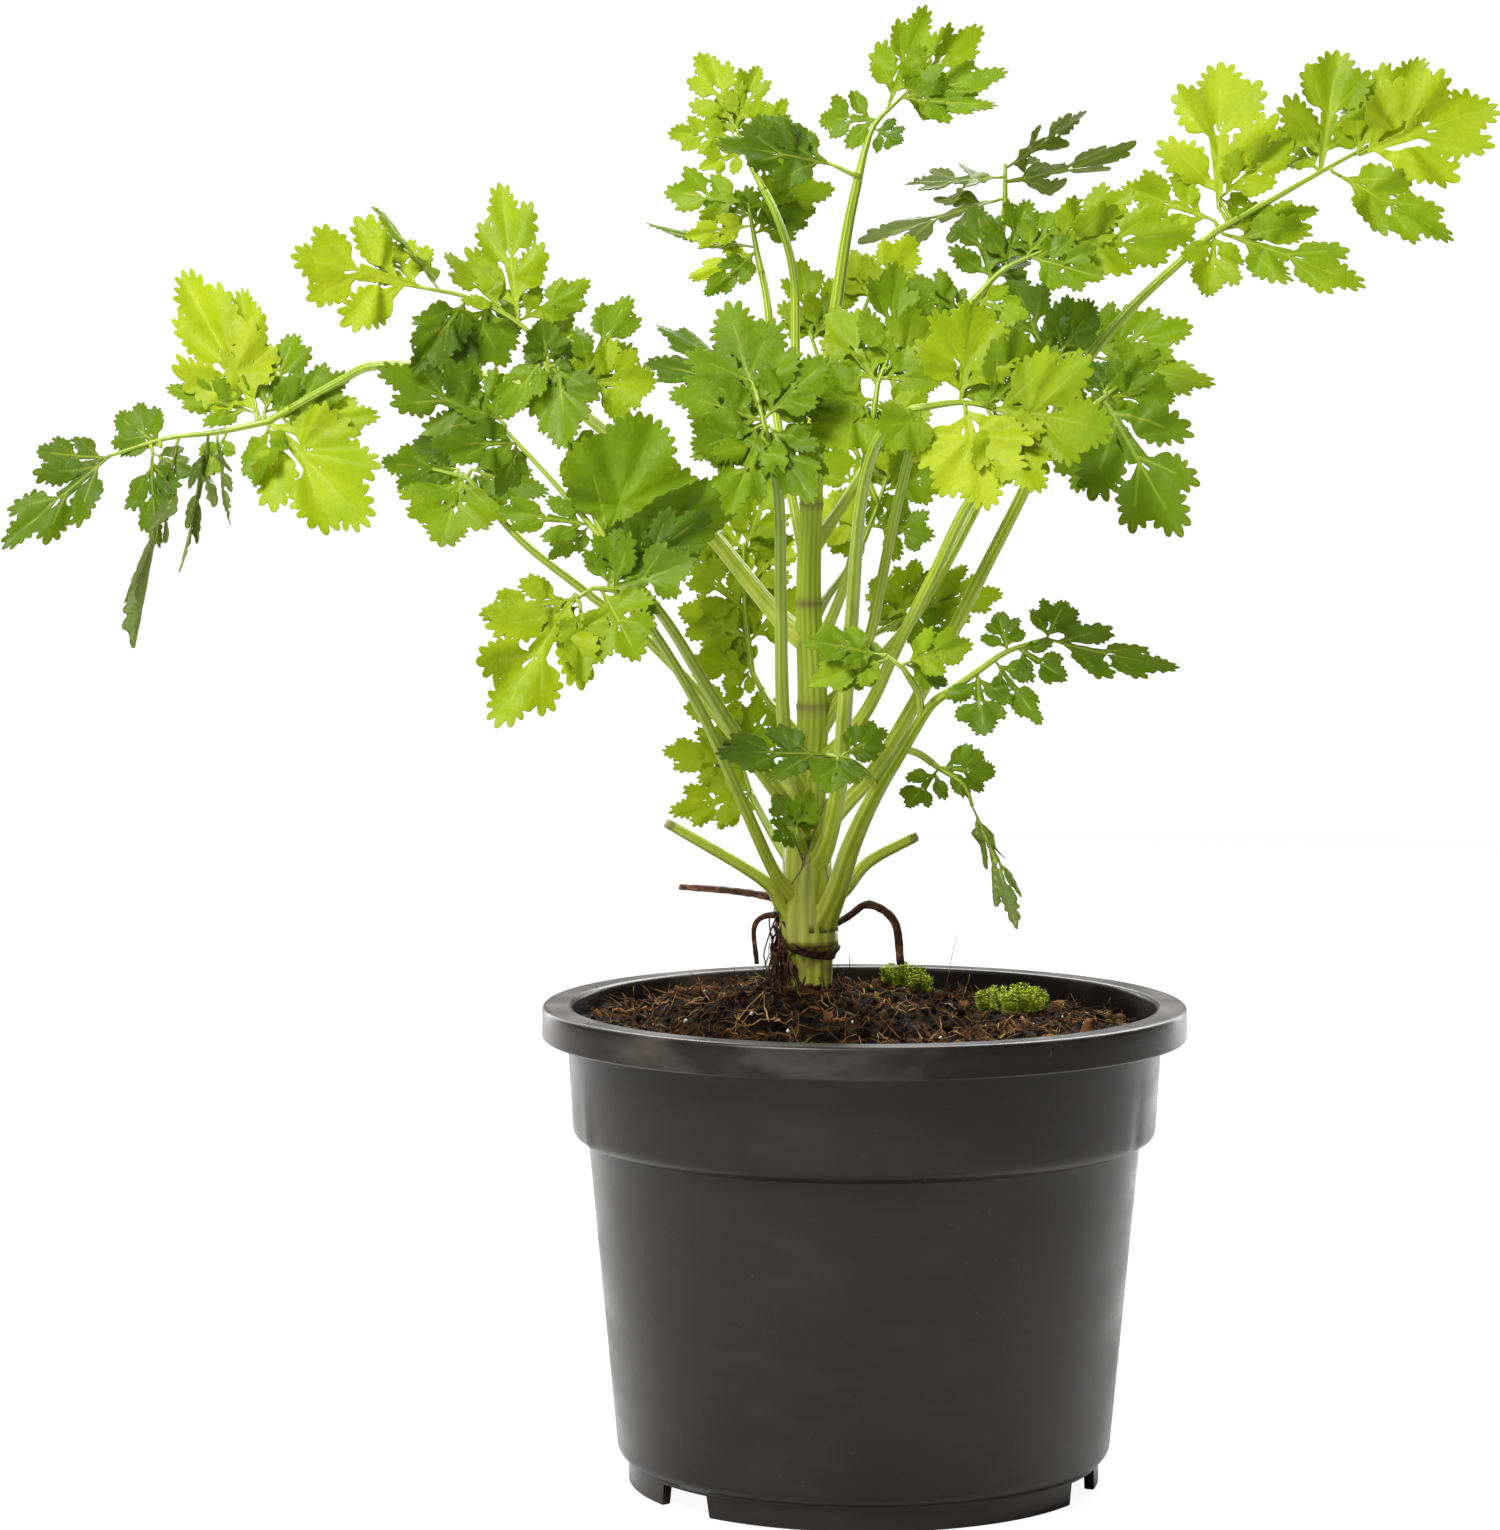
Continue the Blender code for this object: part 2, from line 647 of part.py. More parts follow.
def ellipsoid(name, centre, radii, collection, material=None, grow=0.0):
    """A ball stretched to these three radii, `grow` larger all round."""
    mesh = bpy.data.meshes.new(name)
    shape = bmesh.new()
    bmesh.ops.create_uvsphere(shape, u_segments=16, v_segments=8, radius=1)
    size = Matrix.Diagonal((*(radius + grow for radius in radii), 1))
    bmesh.ops.transform(shape, matrix=Matrix.Translation(centre) @ size, verts=shape.verts)
    shape.to_mesh(mesh)
    shape.free()
    return place(name, mesh, collection, material)


def arc(centre, radius, start, end, steps):
    """Points of an arc in the profile plane, with angles in degrees."""
    angles = [math.radians(start + (end - start) * i / steps) for i in range(steps + 1)]
    return [(centre[0] + radius * math.cos(a), centre[1] + radius * math.sin(a)) for a in angles]


def floor_height():
    """Height of the pot's inside floor."""
    return FOOT_HEIGHT + WALL


def inner_wall(inset):
    """Inside of the pot's wall from the floor to the rim, `inset` further in."""
    return [
        (BODY_FOOT_RADIUS - CORNER_RADIUS - inset, floor_height() + inset),
        (BODY_FOOT_RADIUS - WALL - inset, FOOT_HEIGHT + CORNER_RADIUS + inset),
        (BODY_RADIUS - WALL - inset, BODY_TOP_HEIGHT),
        (COLLAR_FOOT_RADIUS - WALL - inset, COLLAR_FOOT_HEIGHT),
    ]


def top_inner_radius():
    """Inside radius of the collar at the rim."""
    return COLLAR_RADIUS - WALL


def build_pot(parts, helpers):
    """The nursery pot: stepped wall, turned-down rim, notched foot and drain holes."""
    under_rim = POT_HEIGHT - RIM_THICKNESS
    rim_round = RIM_THICKNESS / 2
    corner = (BODY_FOOT_RADIUS - CORNER_RADIUS, FOOT_HEIGHT + CORNER_RADIUS)
    outside = [
        (0, FOOT_HEIGHT),
        (FOOT_RADIUS - FOOT_WIDTH, FOOT_HEIGHT),
        (FOOT_RADIUS - FOOT_WIDTH, 0),
        (FOOT_RADIUS, 0),
        (FOOT_RADIUS, FOOT_HEIGHT),
        *arc(corner, CORNER_RADIUS, CORNER_START, 0, 4),
        (BODY_RADIUS, BODY_TOP_HEIGHT),
        (BODY_RADIUS + LEDGE_TOP[0], BODY_TOP_HEIGHT + LEDGE_TOP[1]),
        (COLLAR_FOOT_RADIUS - LEDGE_LIP[0], COLLAR_FOOT_HEIGHT - LEDGE_LIP[1]),
        (COLLAR_FOOT_RADIUS, COLLAR_FOOT_HEIGHT),
        (COLLAR_RADIUS, under_rim),
        (RIM_RADIUS - SKIRT_WALL, under_rim),
        (RIM_RADIUS - SKIRT_WALL, POT_HEIGHT - RIM_DEPTH),
        (RIM_RADIUS, POT_HEIGHT - RIM_DEPTH),
        *arc((RIM_RADIUS - rim_round, POT_HEIGHT - rim_round), rim_round, 0, 90, 3),
        *arc((top_inner_radius() + rim_round, POT_HEIGHT - rim_round), rim_round, 90, 180, 3),
    ]
    inside = [(0, floor_height()), *inner_wall(0)]
    pot = turned("pot", [*outside, *reversed(inside)], parts, "pot_plastic")
    for number, angle in enumerate(NOTCH_ANGLES, 1):
        turn = Matrix.Rotation(angle, 4, "Z")
        pot_cutter(f"foot_notch_{number}", turn @ Matrix.Translation((FOOT_RADIUS, 0, 0)),
                   (4 * FOOT_WIDTH, NOTCH_LENGTH, 2 * (FOOT_HEIGHT - NOTCH_SHOULDER)), pot, helpers)
        drain = turn @ Matrix.Translation((DRAIN_RING_RADIUS, 0, FOOT_HEIGHT))
        pot_cutter(f"drain_hole_{number}", drain, (DRAIN_RADIUS, DRAIN_RADIUS, 4 * WALL), pot,
                   helpers, round_hole=True)
    return pot


def pot_cutter(name, matrix, size, pot, helpers, round_hole=False):
    """Cuts a box of this size, or a cylinder of these radii and height, out of the pot."""
    mesh = bpy.data.meshes.new(name)
    shape = bmesh.new()
    if round_hole:
        bmesh.ops.create_cone(shape, cap_ends=True, segments=16, radius1=1, radius2=1, depth=1)
    else:
        bmesh.ops.create_cube(shape, size=1)
    matrix = matrix @ Matrix.Diagonal((*size, 1))
    bmesh.ops.transform(shape, matrix=matrix, verts=shape.verts)
    shape.to_mesh(mesh)
    shape.free()
    boolean(pot, "DIFFERENCE", place(name, mesh, helpers))


def build_soil(parts, helpers, stem_socket):
    """Soil that fills the pot and is heaped round the stem, with sockets for what stands in it."""
    edge_height = POT_HEIGHT - SOIL_EDGE_DROP
    wall_share = (edge_height - COLLAR_FOOT_HEIGHT) / (POT_HEIGHT - COLLAR_FOOT_HEIGHT)
    edge_radius = COLLAR_FOOT_RADIUS + (COLLAR_RADIUS - COLLAR_FOOT_RADIUS) * wall_share
    profile = [
        (0, floor_height() + GAP),
        *inner_wall(GAP),
        (edge_radius - WALL - 2 * GAP, edge_height),
        (SOIL_FLAT_SHARE * edge_radius, POT_HEIGHT - SOIL_MIDDLE_DROP),
        (0, POT_HEIGHT - SOIL_MIDDLE_DROP),
    ]
    soil = turned("potting_soil", profile, parts, "potting_soil")
    middle = (STEM_X, 0, POT_HEIGHT - SOIL_MIDDLE_DROP - MOUND_SINK)
    boolean(soil, "UNION", ellipsoid("soil_mound", middle,
                                     (MOUND_RADIUS, MOUND_RADIUS, MOUND_HEIGHT), helpers))
    boolean(soil, "DIFFERENCE", stem_socket)
    for name, centre, radii in MOSS_CUSHIONS:
        centre = Vector(centre) * MM + stand()
        radii = Vector(radii) * MM
        ellipsoid(name, centre, radii, parts, "moss")
        boolean(soil, "DIFFERENCE", ellipsoid(name + "_socket", centre, radii, helpers, grow=GAP))


def build_stem(parts, helpers):
    """The main stem, rooted in the soil, and the same shape grown by the gap, as a cutter."""
    points = [spread(x, y, z) for x, y, z, _ in STEM]
    radii = [radius * MM for *_, radius in STEM]
    place("main_stem", tube_mesh(points, radii, STEM_SIDES), parts, "stem_skin")
    return place("main_stem_clearance", tube_mesh(points, radii, STEM_SIDES, GAP), helpers)


def split_path(path, length):
    """Two paths: all but this length at the end of the path, and that last length."""
    left = length
    for i in range(len(path) - 1, 0, -1):
        piece = (path[i] - path[i - 1]).length
        if piece > left:
            cut = path[i].lerp(path[i - 1], left / piece)
            return [*path[:i], cut], [cut, *path[i:]]
        left -= piece
    raise ValueError("the stalk is shorter than the neck of its blade")


def leaf_point(leaf, x, z, behind=0.0):
    """The point at this x and z of the leaf's plane, or behind it."""
    joint_x, joint_y, joint_z = leaf.stalk[-1]
    depth = joint_y + leaf.lean * (z - joint_z) + leaf.swing * (x - joint_x) + behind
    return spread(x, depth, z)


def leaflet_frame(leaf, leaflet, number):
    """The leaflet's length and its matrix: X from base to tip, Z out of its face."""
    base_x, base_z, tip_x, tip_z, _, behind, roll = leaflet
    base = leaf_point(leaf, base_x, base_z)
    along = leaf_point(leaf, tip_x, tip_z, behind) - base
    face = Vector((leaf.swing, -1, leaf.lean))
    face = (face - face.project(along)).normalized()
    roll += LEAFLET_ROLLS[number % len(LEAFLET_ROLLS)]
    face.rotate(Matrix.Rotation(math.radians(roll), 3, along))
    across = face.cross(along).normalized()
    turn = Matrix((along.normalized(), across, face)).transposed().to_4x4()
    return along.length, Matrix.Translation(base) @ turn


def leaflet_mesh(leaf, leaflet, number):
    """A flat lobed leaflet."""
    width = leaflet[4] * MM
    outline = SLIM_OUTLINE if leaflet[4] <= SLIM_WIDTH else BROAD_OUTLINE
    length, matrix = leaflet_frame(leaf, leaflet, number)
    left = [(u * length, v * width) for u, v in outline]
    right = [(x, -y) for x, y in reversed(left[:-1])]
    data = bpy.data.curves.new("leaflet", "CURVE")
    data.dimensions = "2D"
    data.fill_mode = "BOTH"
    data.extrude = LEAF_THICKNESS / 2
    spline = data.splines.new("POLY")
    spline.points.add(len(left) + len(right) - 1)
    for point, (x, y) in zip(spline.points, [*left, *right]):
        point.co = (x, y, 0, 1)
    spline.use_cyclic_u = True
    return mesh_of(data, matrix)


def nearest_rib_point(ribs, spot):
    """The point of the ribs' lines that lies nearest to this place."""
    best = None
    for rib in ribs:
        for start, end in zip(rib, rib[1:]):
            share = (spot - start).dot(end - start) / (end - start).length_squared
            point = start.lerp(end, min(max(share, 0), 1))
            if best is None or (point - spot).length < (best - spot).length:
                best = point
    return best


def build_leaf(leaf, cutters, parts, helpers):
    """The leaf's stalk and its blade, and the stalk's clearance for what grows from it."""
    joint_path = smooth_path([spread(*point) for point in leaf.stalk], PATH_STEP)
    short = len(joint_path) <= SHORT_STALK_POINTS
    stalk, neck = split_path(joint_path, NECK_LENGTH * (SHORT_NECK_SHARE if short else 1))
    stalk[-1] += (stalk[-2] - stalk[-1]).normalized() * NECK_GAP
    radii = [radius * MM for radius in leaf.radii]
    stalk_name = leaf.name + "_stalk"
    stem = place(stalk_name, tube_mesh(stalk, radii, STALK_SIDES), parts, "stalk_skin")
    boolean(stem, "DIFFERENCE", cutters[leaf.parent])
    cutters[stalk_name] = place(
        stalk_name + "_clearance", tube_mesh(stalk, radii, STALK_SIDES, GAP), helpers)

    pieces = bpy.data.collections.new(leaf.name + "_pieces")
    helpers.children.link(pieces)
    ribs = [[leaf_point(leaf, x, z) for x, z in rib] for rib in leaf.ribs]
    main_rib = [*neck[:-1], *ribs[0]]
    for number, leaflet in enumerate(leaf.leaflets, 1):
        place(f"{leaf.name}_leaflet_{number}", leaflet_mesh(leaf, leaflet, number), pieces)
        base = leaf_point(leaf, leaflet[0], leaflet[1])
        start = nearest_rib_point([main_rib, *ribs[1:]], base)
        if (base - start).length > VEIN_RADIUS:
            vein = tube_mesh([start, base], (VEIN_RADIUS, VEIN_RADIUS), RIB_SIDES)
            place(f"{leaf.name}_vein_{number}", vein, pieces)
    for number, rib in enumerate(ribs[1:], 1):
        side = tube_mesh(rib, (RIB_RADIUS, VEIN_RADIUS), RIB_SIDES)
        place(f"{leaf.name}_rib_{number}", side, pieces)
    blade = place(leaf.name + "_blade", tube_mesh(main_rib, (RIB_RADIUS, VEIN_RADIUS), RIB_SIDES),
                  parts, "leaf_green")
    boolean(blade, "UNION", pieces)
    boolean(blade, "DIFFERENCE", cutters[stalk_name])


def build_sprigs(parts, stem_clearance):
    """Cut and dried stalks on the crown."""
    for name, points, radii in SPRIGS:
        path = smooth_path([spread(*point) for point in points], PATH_STEP)
        material = "dry_stalk" if name.startswith("dry") else "stalk_skin"
        mesh = tube_mesh(path, [radius * MM for radius in radii], STALK_SIDES)
        boolean(place(name, mesh, parts, material), "DIFFERENCE", stem_clearance)


def main():
    """Clears the scene and builds the pot, the soil and the plant."""
    for obj in list(bpy.data.objects):
        bpy.data.objects.remove(obj)
    parts = bpy.data.collections.new("potted_coriander")
    helpers = bpy.data.collections.new("cutters")
    for collection in (parts, helpers):
        bpy.context.scene.collection.children.link(collection)
    build_pot(parts, helpers)
    stem_clearance = build_stem(parts, helpers)
    build_soil(parts, helpers, stem_clearance)
    cutters = {"main_stem": stem_clearance}
    for leaf in LEAVES:
        build_leaf(leaf, cutters, parts, helpers)
    build_sprigs(parts, stem_clearance)
    pot_axis = bpy.data.objects.new("pot_axis", None)
    pot_axis.location.x = POT_AXIS_X
    parts.objects.link(pot_axis)
    for obj in [*parts.objects, *helpers.all_objects]:
        if obj != pot_axis:
            obj.parent = pot_axis


main()
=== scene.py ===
"""Potted coriander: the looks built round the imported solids.

Each sub-assembly is a class that builds its meshes and dresses them. Sizes are in metres
and the pot's place and heights come from the frame. The plan of the leaves repeats the
one the solids were grown from, so that every blade lies where its solid does.
"""

import json
import logging
import math
import random
from dataclasses import dataclass, field
from enum import Enum

import bmesh
import bpy
import numpy as np
from mathutils import Matrix, Vector, noise

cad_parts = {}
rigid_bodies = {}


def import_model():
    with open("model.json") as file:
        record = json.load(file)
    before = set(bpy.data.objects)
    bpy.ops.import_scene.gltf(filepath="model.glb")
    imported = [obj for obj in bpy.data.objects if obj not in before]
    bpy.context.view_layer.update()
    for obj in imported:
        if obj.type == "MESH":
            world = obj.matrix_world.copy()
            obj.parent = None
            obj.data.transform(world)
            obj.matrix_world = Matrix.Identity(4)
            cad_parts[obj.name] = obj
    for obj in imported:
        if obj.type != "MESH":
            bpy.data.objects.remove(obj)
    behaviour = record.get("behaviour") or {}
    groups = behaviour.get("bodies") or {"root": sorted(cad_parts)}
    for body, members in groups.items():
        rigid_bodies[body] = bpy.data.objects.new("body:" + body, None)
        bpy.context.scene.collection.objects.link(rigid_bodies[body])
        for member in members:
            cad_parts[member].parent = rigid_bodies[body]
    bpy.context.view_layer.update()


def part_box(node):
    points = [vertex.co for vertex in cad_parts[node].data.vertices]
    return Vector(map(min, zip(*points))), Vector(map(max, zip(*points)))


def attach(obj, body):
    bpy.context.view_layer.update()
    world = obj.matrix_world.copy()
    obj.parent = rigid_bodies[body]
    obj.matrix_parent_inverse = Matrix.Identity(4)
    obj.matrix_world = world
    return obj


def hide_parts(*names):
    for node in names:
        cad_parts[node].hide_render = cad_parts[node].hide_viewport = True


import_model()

LOG = logging.getLogger("potted_coriander")
MM = 0.001
GAP = 0.3 * MM
POT_LOW, POT_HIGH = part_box("pot")
AXIS = Vector(((POT_LOW.x + POT_HIGH.x) / 2, (POT_LOW.y + POT_HIGH.y) / 2, 0))
RIM_RADIUS = (POT_HIGH.x - POT_LOW.x) / 2
POT_HEIGHT = POT_HIGH.z

Point2 = tuple[float, float]
Point3 = tuple[float, float, float]
Colour = tuple[float, float, float]
Tree = bpy.types.NodeTree
Node = bpy.types.Node
Socket = bpy.types.NodeSocket


class Shape(Enum):
    """The forms that a leaflet takes, each with its letter in the table of looks."""

    FAN = "F"  # broad, with three lobes side by side
    CUT = "C"  # longer, with deep clefts between its lobes
    FEATHER = "E"  # fine, with slim lobes along its middle vein
    SLIM = "S"  # narrow, as the hanging leaflets are
    BROAD = "B"  # one broad smooth blade with small teeth


@dataclass(frozen=True)
class Lobe:
    """One lobe of a leaflet, in shares of the leaflet's length.

    Start is where its vein leaves the middle vein, and angle is in degrees from it. A lobe
    has a few large bays and many small teeth round its edge.
    """

    start: float
    angle: float
    length: float
    width: float
    bays: int
    teeth: int


LOBES: dict[Shape, tuple[Lobe, ...]] = {
    Shape.FAN: (
        Lobe(0.42, 0, 0.58, 0.44, 3, 15), Lobe(0.32, 38, 0.58, 0.35, 3, 13),
        Lobe(0.36, -36, 0.54, 0.35, 3, 13), Lobe(0.06, 47, 0.64, 0.36, 3, 13),
        Lobe(0.10, -45, 0.62, 0.35, 3, 13),
    ),
    Shape.CUT: (
        Lobe(0.48, 0, 0.52, 0.36, 3, 13), Lobe(0.40, 40, 0.48, 0.28, 3, 11),
        Lobe(0.44, -38, 0.45, 0.28, 3, 11), Lobe(0.10, 48, 0.58, 0.32, 3, 13),
        Lobe(0.14, -45, 0.56, 0.31, 3, 13),
    ),
    Shape.FEATHER: (
        Lobe(0.52, 0, 0.48, 0.34, 3, 11), Lobe(0.44, 38, 0.46, 0.26, 3, 9), Lobe(0.42, -38, 0.46, 0.26, 3, 9),
        Lobe(0.14, 46, 0.52, 0.27, 3, 11), Lobe(0.12, -46, 0.52, 0.27, 3, 11),
    ),
    Shape.SLIM: (
        Lobe(0.50, 0, 0.50, 0.22, 3, 9), Lobe(0.42, 32, 0.40, 0.15, 3, 7), Lobe(0.38, -32, 0.40, 0.15, 3, 7),
        Lobe(0.10, 34, 0.44, 0.16, 3, 7), Lobe(0.08, -34, 0.44, 0.16, 3, 7),
    ),
    Shape.BROAD: (
        Lobe(0.04, 0, 0.96, 0.84, 2, 25), Lobe(0.04, 36, 0.86, 0.6, 2, 21), Lobe(0.04, -36, 0.86, 0.6, 2, 21),
    ),
}


@dataclass(frozen=True)
class LeafPlan:
    """One leaf, in the plan's millimetres, as the solids were grown.

    Its stalk's points are x, y and z. Its blade lies in the plane through the joint that
    goes back by `lean` per unit of height and by `swing` per unit of width. A leaflet is
    the x and z of its base and of its tip, its width, how far its tip stands behind the
    plane, and its roll in degrees.
    """

    name: str
    parent: str
    stalk: tuple
    radii: Point2
    lean: float
    swing: float
    ribs: tuple
    leaflets: tuple


# The main stem: x, y, z and radius.
STEM = (
    (-12.5, 0, 98, 3.2), (-12.5, 0, 110, 5), (-12.5, 0, 120, 5.7), (-13, 0, 128, 5.9),
    (-14, 0, 138, 4.9), (-13.5, 0, 150, 4.5), (-13, 0, 165, 3.9), (-12, 0, 180, 3.4),
    (-13, 0, 205, 2.8), (-12.5, 0, 225, 2.5), (-11.5, 0, 246, 2.2),
)

